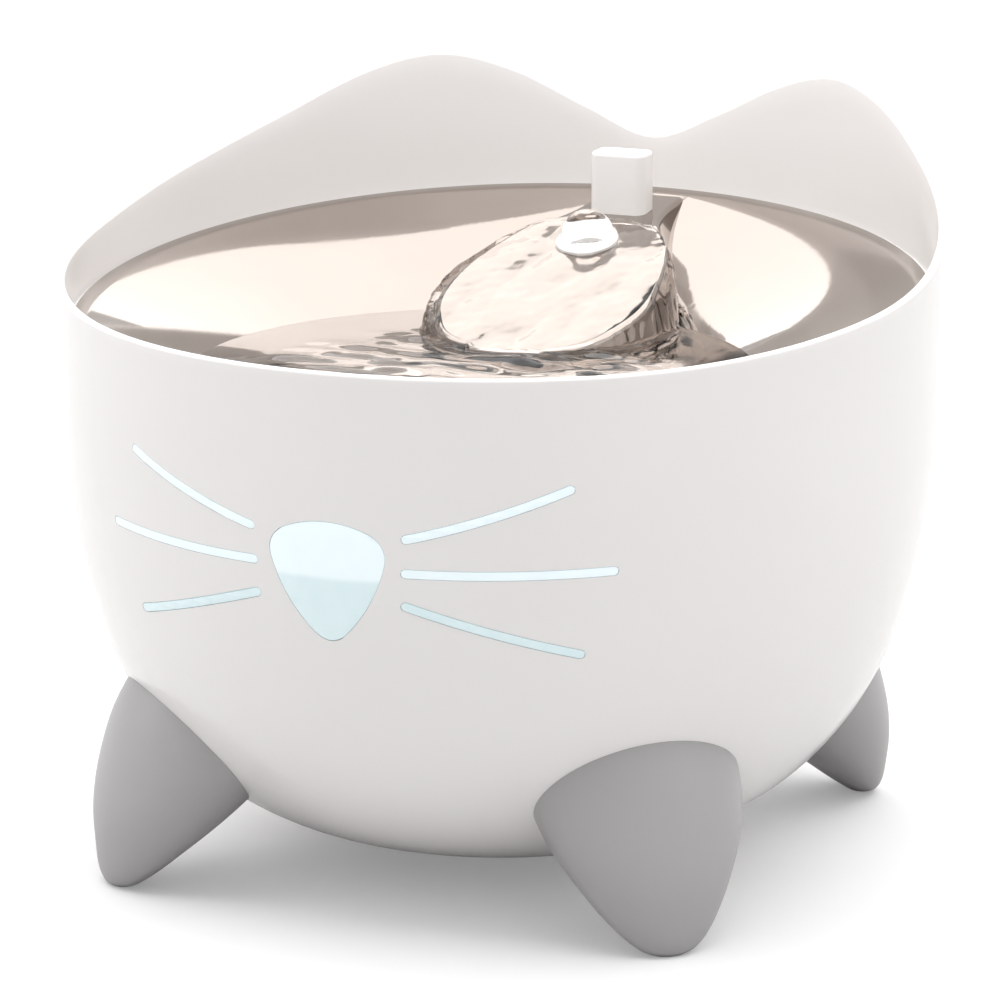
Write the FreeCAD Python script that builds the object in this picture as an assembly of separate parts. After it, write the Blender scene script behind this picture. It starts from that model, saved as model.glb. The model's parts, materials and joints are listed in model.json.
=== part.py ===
"""Pet water fountain: a white bowl on four horn feet with an ear-shaped rear rim,
a polished steel drinking tray with a raised spill ramp, and a pump with its filter inside.

Millimetres, +Z up. The origin is on the floor under the middle of the bowl, and the nose
of the face looks along -Y. The drinking tray lies in a plane that drops towards the front.
"""

import FreeCAD, Part
import math
import os

from FreeCAD import Vector

# Driving dimensions: bowl
BOWL_RADIUS = 122.5          # outside of the wall at its widest
BOWL_WIDEST_Z = 149.0        # height from which the wall rises straight
BOWL_BASE_Z = 8.2            # underside of the flat base
BOWL_BASE_RADIUS = 48.0
BOWL_BELLY_R = 2.558         # squareness of the belly, sideways and upwards
BOWL_BELLY_Z = 2.633
BOWL_AXIS_Z = 7.0            # where the belly curve would reach its core
BOWL_CORE = 20.0
BELLY_RUNS = 9               # straight runs that draw the belly outside
BELLY_RUNS_INSIDE = 6
WALL = 2.5
FLOOR_WALL = 3.0

# Rim height against the angle from the nose, the same on both sides
RIM_HEIGHTS = ((0, 159.5), (40, 160.1), (65, 163.2), (90, 169.0), (110, 178.8), (125, 188.7),
               (140, 201.2), (150, 205.0), (160, 199.8), (170, 189.6), (180, 181.4))
EAR_LEAN = 1.3               # how far the ears lean outwards at their tips

# Driving dimensions: drinking tray, in its own tilted frame
TRAY_SLOPE = 0.10            # rise per length towards the back
TRAY_MID_Z = 154.4           # height of the flange above the middle of the bowl
TRAY_RADIUS = 119.2
TRAY_FLANGE = 3.4
TRAY_SHEET = 0.8
TRAY_DEPTH = 22.6
TRAY_CONE = 0.36             # fall per length of the sloping side
TRAY_BOTTOM_BEVEL = 12.0     # how far the bevel between floor and side reaches
LEDGE_WIDTH = 4.2            # how far the ledge stands in from the bowl's wall
LEDGE_DEPTH = 4.0
DRAIN_COUNT = 7
DRAIN_SIZE = (9.0, 3.0)
DRAIN_STEP = 7.0             # degrees between drain slots
DRAIN_INSET = 4.6            # from the edge of the flange to the middle of a slot

# Driving dimensions: spill ramp pressed up in the tray
RAMP_OUTLINE = ((17.0, 9.5), (26.0, 25.0), (28.0, 43.0), (23.5, 66.0), (15.5, 84.0), (12.5, 98.0))
RAMP_FRONT = 3.5
RAMP_BACK = 112.0
RAMP_SLOPE = 0.19            # rise against the tray's flange
RAMP_TOP = -0.5              # plateau, against the flange
RAMP_PLATEAU_FROM = 78.6
RAMP_DRAFT = 0.25            # how much the sides spread per depth
RAMP_ROUND = 1.4

# Driving dimensions: nozzle and grip block on the tray
NOZZLE_Y = 66.7
NOZZLE_RADIUS = 9.1
NOZZLE_PROUD = 1.7
NOZZLE_BORE = 4.2
NOZZLE_CUP = 1.3             # depth of the cup
NOZZLE_LIP = 1.3
NUT_RADIUS = 8.6
NUT_HEIGHT = 2.6
NUT_GRIPS = 6
SPIGOT_RADIUS = 5.5
SPIGOT_LENGTH = 15.0
GRIP_Y = 95.0
GRIP_SIZE = (17.0, 11.0, 17.6)
GRIP_CORNER = 3.2
GRIP_STEM = (8.0, 5.0)

# Driving dimensions: windows of the face
WINDOW_PROUD = 0.25
WINDOW_GAP = 0.2             # round the edge of each window
PANEL_GAP = 0.35             # behind the wall
PANEL_THICK = 1.8
PANEL_HALF_ANGLE = 42.0
PANEL_Z = (80.0, 133.0)
NOSE_HALF_WIDTH = 17.2
NOSE_TOP = 120.0
NOSE_SHOULDER = 114.5
NOSE_TIP = 87.6
WHISKER_WIDTH = 2.7
WHISKERS = (((10.3, 116.6), (20.0, 122.4), (30.5, 130.2)),
            ((10.2, 107.3), (22.0, 107.3), (36.0, 107.9)),
            ((10.2, 98.2), (20.5, 91.6), (31.8, 85.1)))

# Driving dimensions: feet
FOOT_ANGLE = 45.0
FOOT_GAP = 0.05
# height, distance from the middle, half width sideways, half width outwards
FOOT_SECTIONS = ((0.0, 113.8, 4.5, 3.2), (1.2, 113.5, 7.6, 4.8), (5.5, 111.0, 12.8, 8.6),
                 (17.0, 103.5, 21.6, 17.0), (32.0, 94.4, 28.8, 24.2), (60.0, 81.0, 27.0, 25.0))

# Driving dimensions: filter case and pump
CASE_Y = 38.0
CASE_RADIUS = 39.0
CASE_Z = (24.0, 82.0)
CASE_WALL = 2.0
CASE_SLOTS = 10
RISER_Y = NOZZLE_Y
RISER_RADIUS = 6.0
RISER_BORE = 4.3
BELL_RADIUS = 7.4
BELL_Z = (141.0, 151.5)
RISER_HOLE = 8.2             # free space round the riser in the filter's pieces
RISER_FOOT_Z = 57.0
SPOUT_RADIUS = 4.0
SPOUT_BORE = 2.9
SPOUT_HEIGHT = 26.0
PUMP_HALF_WIDTH = 17.0
PUMP_Y = (20.0, 55.0)
PUMP_Z = (27.6, 57.6)
PUMP_AXIS_Z = 41.5
VOLUTE_RADIUS = 12.5
VOLUTE_LENGTH = 17.0
VOLUTE_WALL = 1.6
HUB_DEPTH = 4.8
BUSH_LENGTH = 2.2
ROTOR_RADIUS = 6.0
ROTOR_WELL = 6.7
ROTOR_LENGTH = 20.0
IMPELLER_RADIUS = 9.2
IMPELLER_WIDTH = 6.0
IMPELLER_BLADES = 6
SHAFT_RADIUS = 1.15
SHAFT_CLEAR = 0.05
GRID_Z = 60.0
GRID_THICK = 2.0
GRID_HOLE = 6.0
GRID_STEP = 17.0
CARTRIDGE_HEIGHT = 19.4
CARTRIDGE_WALL = 1.2
FOAM_HEIGHT = 6.0
LID_THICK = 2.0
LID_SKIRT = 7.0
LID_SLOTS = 10
LID_KNOB = (8.0, 8.0)
FIT = 0.3                    # between pieces that lift off each other
BUSH_RADIUS = 2.1
GLAND_X = 9.5
GLAND_Z = 36.0
CUP_RADIUS = 7.5
CUP_X = 15.0
CUP_Y = (14.0, 36.0)
SEAT_RING = 30.0             # low rim on the floor that keeps the filter case in its place

# Driving dimensions: cord port
PORT_Z = 146.0
PORT_RADIUS = 5.5
GROMMET_BORE = 2.1
GROMMET_FLANGE = 2.4

CUP_PLACES = [(x, y) for x in (-CUP_X, CUP_X) for y in CUP_Y]
ORIGIN = Vector(0, 0, 0)
UP = Vector(0, 0, 1)
TILT = math.degrees(math.atan(TRAY_SLOPE))
RAMP_ANGLE = TILT + math.degrees(math.atan(RAMP_SLOPE))


def save(name, shape):
    """Write one piece, cleaned of split faces, as its own file."""
    os.makedirs("parts", exist_ok=True)
    if not shape.isValid():
        print("not valid:", name)
    shape.exportStep("parts/" + name + ".step")
    print(name, len(shape.Solids), round(shape.Volume, 1))


def fused(shapes):
    """One solid from several that meet."""
    whole = shapes[0]
    for other in shapes[1:]:
        whole = whole.fuse(other)
    return whole.removeSplitter()


def cylinder(radius, height, x, y, z):
    return Part.makeCylinder(radius, height, Vector(x, y, z))


def tube(outer, inner, height, x, y, z):
    return cylinder(outer, height, x, y, z).cut(cylinder(inner, height, x, y, z))


def along_y(shape, y, z):
    """Turn a piece built along +Z so that it runs along +Y, and place its start."""
    turned = shape.copy()
    turned.rotate(ORIGIN, Vector(1, 0, 0), -90)
    turned.translate(Vector(0, y, z))
    return turned


def block(width, depth, height, x, y, z):
    """A box that is centred on x and y and stands on z."""
    return Part.makeBox(width, depth, height, Vector(x - width / 2, y - depth / 2, z))


def upright_edges(shape):
    """The straight edges of a shape that run along Z."""
    found = []
    for edge in shape.Edges:
        if isinstance(edge.Curve, Part.Line) and abs(edge.tangentAt(edge.FirstParameter).z) > 0.99:
            found.append(edge)
    return found


def spun(edges):
    """The solid that a closed profile in the XZ plane sweeps round the Z axis."""
    face = Part.Face(Part.Wire(Part.__sortEdges__(edges)))
    return face.revolve(ORIGIN, UP, 360)


def polyline(points):
    """Edges through the points, closed."""
    corners = [Vector(x, 0, z) for x, z in points]
    return [Part.LineSegment(a, b).toShape() for a, b in zip(corners, corners[1:] + corners[:1])]


def tilted(shape):
    """From the tray's own frame to its place in the bowl."""
    placed = shape.copy()
    placed.rotate(ORIGIN, Vector(1, 0, 0), TILT)
    placed.translate(Vector(0, 0, TRAY_MID_Z))
    return placed


def flange_z(y):
    """Height of the tray's flange plane at a place along Y."""
    return TRAY_MID_Z + TRAY_SLOPE * y


# Bowl

def belly_point(turn, inwards):
    """A point of the bowl's belly curve, moved inwards along its normal."""
    def place(t):
        radius = BOWL_CORE + (BOWL_RADIUS - BOWL_CORE) * math.sin(t) ** (2 / BOWL_BELLY_R)
        height = BOWL_WIDEST_Z - (BOWL_WIDEST_Z - BOWL_AXIS_Z) * math.cos(t) ** (2 / BOWL_BELLY_Z)
        return radius, height
    step = 1e-4
    before, after = place(max(turn - step, 1e-6)), place(min(turn + step, math.pi / 2 - 1e-6))
    run, rise = after[0] - before[0], after[1] - before[1]
    length = math.hypot(run, rise)
    radius, height = place(turn)
    return radius - inwards * rise / length, height + inwards * run / length


def belly_turn(radius):
    """Where on the belly curve the outside has the given radius."""
    share = (radius - BOWL_CORE) / (BOWL_RADIUS - BOWL_CORE)
    return math.asin(share ** (BOWL_BELLY_R / 2))


def belly_lines(inwards):
    """The belly from the flat base up to the straight wall, in short straight runs."""
    first, last = belly_turn(BOWL_BASE_RADIUS), math.pi / 2 - 0.02
    runs = BELLY_RUNS if inwards <= 0 else BELLY_RUNS_INSIDE
    points = []
    for number in range(runs):
        radius, height = belly_point(first + (last - first) * number / runs, inwards)
        points.append(Vector(radius, 0, height))
    points.append(Vector(BOWL_RADIUS - inwards, 0, BOWL_WIDEST_Z))
    edges = [Part.LineSegment(a, b).toShape() for a, b in zip(points, points[1:])]
    return edges, points[0]


def bowl_body(inwards, base_z, top_z, lean=0.0):
    """The filled form of the bowl, drawn in from its outside by the given distance."""
    edges, start = belly_lines(inwards)
    wall = BOWL_RADIUS - inwards
    corners = [start, Vector(start.x, 0, base_z), Vector(0, 0, base_z),
               Vector(0, 0, top_z), Vector(wall + lean, 0, top_z), Vector(wall, 0, BOWL_WIDEST_Z)]
    for a, b in zip(corners, corners[1:]):
        if a.distanceToPoint(b) > 1e-6:
            edges.append(Part.LineSegment(a, b).toShape())
    return spun(edges)


def rim_curve(radius):
    """The closed line of the rim's height on a cylinder of the given radius."""
    left = [(-angle, height) for angle, height in RIM_HEIGHTS[-2:0:-1]]
    points = []
    for angle, height in list(RIM_HEIGHTS) + left:
        turn = math.radians(angle)
        points.append(Vector(radius * math.sin(turn), -radius * math.cos(turn), height))
    curve = Part.BSplineCurve()
    curve.interpolate(points, PeriodicFlag=True)
    return curve.toShape()


def above_rim():
    """Everything above the rim line, to be cut away."""
    skin = Part.makeRuledSurface(rim_curve(BOWL_RADIUS - 15), rim_curve(BOWL_RADIUS + 15))
    return skin.extrude(Vector(0, 0, 90))


def tray_ledge():
    """The ledge inside the wall that the tray's flange lies on."""
    outer = BOWL_RADIUS - WALL / 2
    inner = BOWL_RADIUS - WALL - LEDGE_WIDTH
    ring = spun(polyline(((inner, -TRAY_SHEET), (outer + 1, -TRAY_SHEET),
                          (outer + 1, -TRAY_SHEET - LEDGE_DEPTH - LEDGE_WIDTH),
                          (outer - 1, -TRAY_SHEET - LEDGE_DEPTH - LEDGE_WIDTH + 1.5),
                          (inner, -TRAY_SHEET - LEDGE_DEPTH + 1.5))))
    return tilted(ring).common(cylinder(outer, 100, 0, 0, 100))


def bowl_shell():
    top = 212.0
    outside = bowl_body(0.0, BOWL_BASE_Z, top, EAR_LEAN)
    inside = bowl_body(WALL, BOWL_BASE_Z + FLOOR_WALL, top + 1, EAR_LEAN)
    shell = outside.cut(inside).cut(above_rim())
    shell = fused([shell, tray_ledge()])
    shell = shell.cut(nose_prism(0.0, 20.0))
    for side in (1, -1):
        for whisker in WHISKERS:
            shell = shell.cut(whisker_prism(whisker, side, 0.0))
    port = along_y(Part.makeCylinder(PORT_RADIUS, 20), BOWL_RADIUS - 10, PORT_Z)
    floor = BOWL_BASE_Z + FLOOR_WALL
    seat = tube(SEAT_RING, SEAT_RING - 1.6, 3.0, 0, sum(CUP_Y) / 2, floor - 0.5)
    return fused([shell.cut(port), seat.common(bowl_body(WALL / 2, BOWL_BASE_Z + 1, 60))])


# Face windows

def nose_prism(shrink, depth):
    """The rounded triangle of the nose, run through the front wall."""
    half = NOSE_HALF_WIDTH - shrink
    top = NOSE_TOP - shrink
    shoulder = NOSE_SHOULDER - shrink
    tip = NOSE_TIP + shrink * 1.6
    left, right, low = Vector(-half, 0, shoulder), Vector(half, 0, shoulder), Vector(0, 0, tip - 2.4)
    side_mid = Vector(half * 0.68, 0, (shoulder + tip) / 2 - 2.6)
    edges = [Part.Arc(left, Vector(0, 0, top), right).toShape(),
             Part.Arc(right, side_mid, low).toShape(),
             Part.Arc(low, Vector(-side_mid.x, 0, side_mid.z), left).toShape()]
    prism = Part.Face(Part.Wire(edges)).extrude(Vector(0, depth, 0))
    prism.translate(Vector(0, -BOWL_RADIUS - 4, 0))
    corners = [edge for edge in prism.Edges if edge.BoundBox.YLength > depth - 0.1]
    low_edges = [edge for edge in corners if edge.BoundBox.ZMax < (top + tip) / 2]
    high_edges = [edge for edge in corners if edge.BoundBox.ZMin > (top + tip) / 2]
    return prism.makeFillet(5.6, high_edges).makeFillet(4.6, low_edges)


def on_wall(angle, side, middle):
    """Sideways place of a point of the wall, seen along the wall's normal at the middle angle."""
    return (BOWL_RADIUS - 2) * math.sin(math.radians(angle - middle)) * side


def whisker_prism(whisker, side, shrink):
    """A slightly bowed slot with round ends, run through the wall along its normal."""
    middle = (whisker[0][0] + whisker[2][0]) / 2
    first, mid, last = [Vector(on_wall(a, side, middle), 0, z) for a, z in whisker]
    half = WHISKER_WIDTH / 2 - shrink
    bow = Part.Arc(first, mid, last)
    points = []
    for share in (0.0, 0.5, 1.0):
        at = bow.FirstParameter + (bow.LastParameter - bow.FirstParameter) * share
        spot = bow.value(at)
        run = bow.tangent(at)[0]
        across = Vector(-run.z, 0, run.x)
        points.append((spot + across * half, spot - across * half, run))
    start, centre, end = points
    cap_start = bow.value(bow.FirstParameter) - start[2] * half
    cap_end = bow.value(bow.LastParameter) + end[2] * half
    edges = [Part.Arc(start[0], centre[0], end[0]).toShape(),
             Part.Arc(end[0], cap_end, end[1]).toShape(),
             Part.Arc(end[1], centre[1], start[1]).toShape(),
             Part.Arc(start[1], cap_start, start[0]).toShape()]
    prism = Part.Face(Part.Wire(edges)).extrude(Vector(0, 16, 0))
    prism.translate(Vector(0, -BOWL_RADIUS - 6, 0))
    prism.rotate(ORIGIN, UP, middle * side)
    return prism


def wall_layer(outer, inner, low, high):
    """A layer of the bowl's wall between two depths and two heights."""
    layer = bowl_body(outer, 60.0, 150.0).cut(bowl_body(inner, 50.0, 151.0))
    return layer.common(cylinder(BOWL_RADIUS + 5, high - low, 0, 0, low))


def face_window():
    """One clear moulding: a curved panel behind the wall, with the nose and whiskers standing out."""
    layer = wall_layer(WALL + PANEL_GAP, WALL + PANEL_GAP + PANEL_THICK, *PANEL_Z)
    reach = BOWL_RADIUS + 20
    spread = reach * math.tan(math.radians(PANEL_HALF_ANGLE))
    wedge = Part.Face(Part.makePolygon([Vector(0, 0, 0), Vector(spread, -reach, 0),
                                        Vector(-spread, -reach, 0), Vector(0, 0, 0)]))
    panel = layer.common(wedge.extrude(Vector(0, 0, 200)))
    skin = wall_layer(-WINDOW_PROUD, WALL + PANEL_GAP + PANEL_THICK / 2, *PANEL_Z)
    pieces = [panel, nose_prism(WINDOW_GAP, 20.0).common(skin)]
    for side in (1, -1):
        for whisker in WHISKERS:
            pieces.append(whisker_prism(whisker, side, WINDOW_GAP).common(skin))
    return fused(pieces)


# Feet

def foot(angle):
    """A horn that grows from the belly and ends in a rounded tip with a small flat on the floor."""
    wires = []
    for height, reach, half_side, half_out in FOOT_SECTIONS:
        ring = Part.Ellipse(ORIGIN, half_side, half_out).toShape()
        ring.translate(Vector(0, -reach, height))
        wires.append(Part.Wire(ring))
    horn = Part.makeLoft(wires, True, True)
    horn = horn.cut(bowl_body(-FOOT_GAP, BOWL_BASE_Z, 90.0))
    horn.rotate(ORIGIN, UP, angle)
    return horn


# Drinking tray

def dish_profile(drop):
    """The closed profile of everything below the dish's surface, lowered by the sheet's thickness."""
    edge = TRAY_RADIUS - TRAY_FLANGE
    slope = math.atan(TRAY_CONE)
    shift = (drop / math.cos(slope) - drop) / TRAY_CONE
    corner = edge - TRAY_DEPTH / TRAY_CONE - shift
    floor = -TRAY_DEPTH - drop
    reach = TRAY_BOTTOM_BEVEL + drop * math.tan(slope / 2)
    below = floor - 2 * TRAY_DEPTH
    return polyline(((0, floor), (corner - reach, floor),
                     (corner + reach * math.cos(slope), floor + reach * math.sin(slope)),
                     (edge - shift, -drop), (TRAY_RADIUS, -drop), (TRAY_RADIUS, below), (0, below)))


def ramp_outline(grow, height):
    """The teardrop outline of the ramp, grown sideways and to the front."""
    right = [Vector(x + grow, y - grow * 0.5, height) for x, y in RAMP_OUTLINE]
    left = [Vector(-p.x, p.y, height) for p in reversed(right)]
    front = Vector(0, RAMP_FRONT - grow, height)
    last = RAMP_OUTLINE[-1][0] + grow
    back_right = Vector(last, RAMP_BACK, height)
    back_left = Vector(-last, RAMP_BACK, height)
    curve = Part.BSplineCurve()
    curve.interpolate([back_left] + left + [front] + right + [back_right])
    return Part.Wire([curve.toShape(), Part.LineSegment(back_right, back_left).toShape()])


def ramp_form(drop):
    """The raised ramp: drafted sides, a top that falls to the front, rounded top edges."""
    low, high = -30.0, 6.0
    body = Part.makeLoft([ramp_outline((high - low) * RAMP_DRAFT - drop - 1.0, low),
                          ramp_outline(-drop - 1.0, high)], True, True)
    fold = Vector(0, RAMP_PLATEAU_FROM, RAMP_TOP - drop)
    front = Vector(0, -20, fold.z - RAMP_SLOPE * (RAMP_PLATEAU_FROM + 20))
    points = [front, fold, Vector(0, 140, fold.z), Vector(0, 140, 30), Vector(0, -20, 30), front]
    over = Part.Face(Part.makePolygon(points)).extrude(Vector(80, 0, 0))
    over.translate(Vector(-40, 0, 0))
    body = body.cut(over)
    tops = []
    for edge in body.Edges:
        box = edge.BoundBox
        if box.ZMin > -20 and box.YMin < RAMP_BACK - 1 and box.XLength < 79 and not is_fold(edge):
            tops.append(edge)
    return body.makeFillet(RAMP_ROUND, tops) if drop == 0 else body


def is_fold(edge):
    """True for the straight edge across the ramp, where its slope meets the plateau."""
    return edge.BoundBox.YLength < 0.01


def under_tray(drop):
    """All space under the tray's upper surface, or under its lower one."""
    whole = spun(dish_profile(drop)).fuse(ramp_form(drop))
    limit = Part.makeCylinder(TRAY_RADIUS, 90, Vector(0, 0, -38))
    return whole.common(limit).removeSplitter()


def drinking_tray():
    """A pressed steel dish with a flange, drain slots at the front and the spill ramp."""
    sheet = under_tray(0.0).cut(under_tray(TRAY_SHEET))
    length, width = DRAIN_SIZE
    slot = block(length - width, width, 20, 0, 0, -15)
    for end in (-1, 1):
        slot = slot.fuse(cylinder(width / 2, 20, end * (length - width) / 2, 0, -15))
    slot.translate(Vector(0, DRAIN_INSET - TRAY_RADIUS, 0))
    for number in range(DRAIN_COUNT):
        hole = slot.copy()
        hole.rotate(ORIGIN, UP, (number - (DRAIN_COUNT - 1) / 2) * DRAIN_STEP)
        sheet = sheet.cut(hole)
    tray = tilted(sheet)
    tray = tray.cut(cylinder(SPIGOT_RADIUS + 0.3, 30, 0, NOZZLE_Y, flange_z(NOZZLE_Y) - 18))
    stem = block(GRIP_STEM[0] + 0.4, GRIP_STEM[1] + 0.4, 20, 0, GRIP_Y, flange_z(GRIP_Y) - 8)
    return tray.cut(stem)


def ramp_z(y):
    """Height of the ramp's upper surface above a place along Y."""
    rise = RAMP_TOP - RAMP_SLOPE * max(RAMP_PLATEAU_FROM - y, 0.0)
    return flange_z(y) + rise


def leaning(shape, y, z):
    """A piece built on the origin along +Z, set square on the ramp."""
    placed = shape.copy()
    placed.rotate(ORIGIN, Vector(1, 0, 0), RAMP_ANGLE)
    placed.translate(Vector(0, y, z))
    return placed


def nozzle_ring():
    """A cupped ring on the ramp, with a straight spigot that reaches down into the riser."""
    seat = ramp_z(NOZZLE_Y)
    ring = Part.makeCylinder(NOZZLE_RADIUS, NOZZLE_PROUD, Vector(0, 0, 0.02))
    ring = ring.makeFillet(0.6, [edge for edge in ring.Edges if edge.BoundBox.ZMin > NOZZLE_PROUD - 0.1])
    ring = leaning(ring, NOZZLE_Y, seat)
    spigot = cylinder(SPIGOT_RADIUS, SPIGOT_LENGTH + 5, 0, NOZZLE_Y, seat - SPIGOT_LENGTH)
    over = leaning(Part.makeCylinder(20, 10, Vector(0, 0, 0.3)), NOZZLE_Y, seat)
    spigot = spigot.cut(over)
    cup = Part.makeCone(NOZZLE_BORE, NOZZLE_RADIUS - NOZZLE_LIP, NOZZLE_CUP,
                        Vector(0, 0, NOZZLE_PROUD + 0.03 - NOZZLE_CUP))
    cup = leaning(cup, NOZZLE_Y, seat)
    bore = cylinder(NOZZLE_BORE, SPIGOT_LENGTH + 6, 0, NOZZLE_Y, seat - SPIGOT_LENGTH - 1)
    return fused([ring, spigot]).cut(cup).cut(bore)


def nozzle_nut():
    """The ring under the tray that holds the nozzle, with six grips."""
    top = ramp_z(NOZZLE_Y) - TRAY_SHEET / math.cos(math.radians(RAMP_ANGLE)) - 0.02
    body = Part.makeCylinder(NUT_RADIUS, NUT_HEIGHT, Vector(0, 0, -NUT_HEIGHT))
    for number in range(NUT_GRIPS):
        turn = math.radians(360 / NUT_GRIPS * number)
        reach = NUT_RADIUS + 0.7
        body = body.cut(cylinder(1.5, 4, reach * math.cos(turn), reach * math.sin(turn), -3))
    body = leaning(body, NOZZLE_Y, top)
    return body.cut(cylinder(SPIGOT_RADIUS + 0.05, 40, 0, NOZZLE_Y, top - 20))


def grip_block():
    """The block behind the nozzle by which the tray is lifted, with a stem through the tray."""
    base = ramp_z(GRIP_Y)
    body = block(GRIP_SIZE[0], GRIP_SIZE[1], GRIP_SIZE[2] + 4, 0, 0, -4)
    body = body.makeFillet(GRIP_CORNER, upright_edges(body))
    top = [edge for edge in body.Edges if edge.BoundBox.ZMin > GRIP_SIZE[2] - 0.1]
    body = body.makeFillet(1.4, top)
    body.translate(Vector(0, GRIP_Y, base))
    under = Part.makeBox(60, 60, 20, Vector(-30, -30, -20))
    under.rotate(ORIGIN, Vector(1, 0, 0), TILT)
    under.translate(Vector(0, GRIP_Y, base + 0.02))
    stem = block(GRIP_STEM[0], GRIP_STEM[1], 8, 0, GRIP_Y, base - 7)
    return fused([body.cut(under), stem])


def grip_clip():
    """The plate under the tray that holds the grip block's stem."""
    base = ramp_z(GRIP_Y) - TRAY_SHEET * 1.01 - 0.03
    plate = block(13.0, 8.4, 1.8, 0, 0, -1.8)
    plate.rotate(ORIGIN, Vector(1, 0, 0), TILT)
    plate.translate(Vector(0, GRIP_Y, base))
    return plate.cut(block(GRIP_STEM[0] + 0.06, GRIP_STEM[1] + 0.06, 20, 0, GRIP_Y, base - 10))


# Filter case, pump and filter

def riser_gap(radius):
    """The space round the riser, open to the back, that the filter's pieces leave free."""
    return cylinder(radius, 200, 0, RISER_Y, 0).fuse(block(radius * 2, 40, 200, 0, RISER_Y + 20, 0))


def filter_case():
    """The round case that holds the pump, with intake slots round its foot."""
    low, high = CASE_Z
    case = tube(CASE_RADIUS, CASE_RADIUS - CASE_WALL, high - low, 0, CASE_Y, low)
    floor = cylinder(CASE_RADIUS, 2.0, 0, CASE_Y, low)
    rib = tube(CASE_RADIUS - 1, CASE_RADIUS - CASE_WALL - 2.0, 2.0, 0, CASE_Y, GRID_Z - 2.0)
    case = fused([case, floor, rib])
    for number in range(CASE_SLOTS):
        slot = block(3.0, 12, 18, 0, -CASE_RADIUS + 1, low + 5)
        slot.rotate(ORIGIN, UP, (number + 0.5) * 360 / CASE_SLOTS)
        slot.translate(Vector(0, CASE_Y, 0))
        case = case.cut(slot)
    for x, y in CUP_PLACES:
        case = case.cut(cylinder(2.1, 10, x, y, low - 4))
    return case


def suction_cups():
    """Four rubber cups under the case, each a bell with a knob that fills its hole."""
    floor = BOWL_BASE_Z + FLOOR_WALL + 0.02
    top = CASE_Z[0]
    profile = polyline(((0, floor + 2.2), (2.2, floor + 1.9), (CUP_RADIUS - 0.8, floor), (CUP_RADIUS, floor),
                        (CUP_RADIUS, floor + 0.8), (3.6, floor + 4.2), (3.6, top - 0.02),
                        (2.0, top - 0.02), (2.0, top + 2.0), (0, top + 3.2)))
    cup = spun(profile)
    cups = []
    for x, y in CUP_PLACES:
        one = cup.copy()
        one.translate(Vector(x, y, 0))
        cups.append(one)
    return Part.makeCompound(cups)


def pump_body():
    """The sealed motor block, with the rotor's well open towards the impeller."""
    low, high = PUMP_Z
    start, end = PUMP_Y
    middle = (start + end) / 2
    body = block(PUMP_HALF_WIDTH * 2, end - start, high - low, 0, middle, low)
    body = body.makeFillet(3.0, upright_edges(body))
    ribs = [block(1.6, 3.0, high - low - 8, x, start, low + 4) for x in (-3.0, 1.0, 5.0)]
    skids = [block(3.0, end - start - 4, 3.0, x, middle, CASE_Z[0] + 2.02) for x in (-8, 8)]
    gland_boss = along_y(Part.makeCylinder(5.2, 4.0), start - 3.0, GLAND_Z)
    gland_boss.translate(Vector(GLAND_X, 0, 0))
    gland_hole = along_y(Part.makeCylinder(3.6, 9.0), start - 4.0, GLAND_Z)
    gland_hole.translate(Vector(GLAND_X, 0, 0))
    well_start = end - ROTOR_LENGTH - 3
    well = along_y(Part.makeCylinder(ROTOR_WELL, ROTOR_LENGTH + 4), well_start, PUMP_AXIS_Z)
    socket = along_y(Part.makeCylinder(BUSH_RADIUS + 0.05, BUSH_LENGTH + 0.6),
                     well_start - BUSH_LENGTH - 0.1, PUMP_AXIS_Z)
    return fused([body, gland_boss] + ribs + skids).cut(well).cut(socket).cut(gland_hole)


def cord_gland():
    """The rubber sleeve where the supply cord leaves the pump."""
    start = PUMP_Y[0]
    outer = along_y(Part.makeCylinder(3.55, 11.0), start - 6.0, GLAND_Z)
    lip = along_y(Part.makeCylinder(4.4, 1.6), start - 4.7, GLAND_Z)
    bore = along_y(Part.makeCylinder(GROMMET_BORE, 20.0), start - 10.0, GLAND_Z)
    gland = fused([outer, lip]).cut(bore)
    gland.translate(Vector(GLAND_X, 0, 0))
    return gland


def led_lens():
    """The clear cap of the pump's lamp, on the face that looks towards the windows."""
    lens = Part.makeCylinder(3.2, 2.6)
    lens = lens.makeFillet(1.6, [edge for edge in lens.Edges if edge.BoundBox.ZMax < 0.1])
    lens = along_y(lens, PUMP_Y[0] - 2.62, PUMP_AXIS_Z + 7)
    lens.translate(Vector(-GLAND_X, 0, 0))
    return lens


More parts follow.
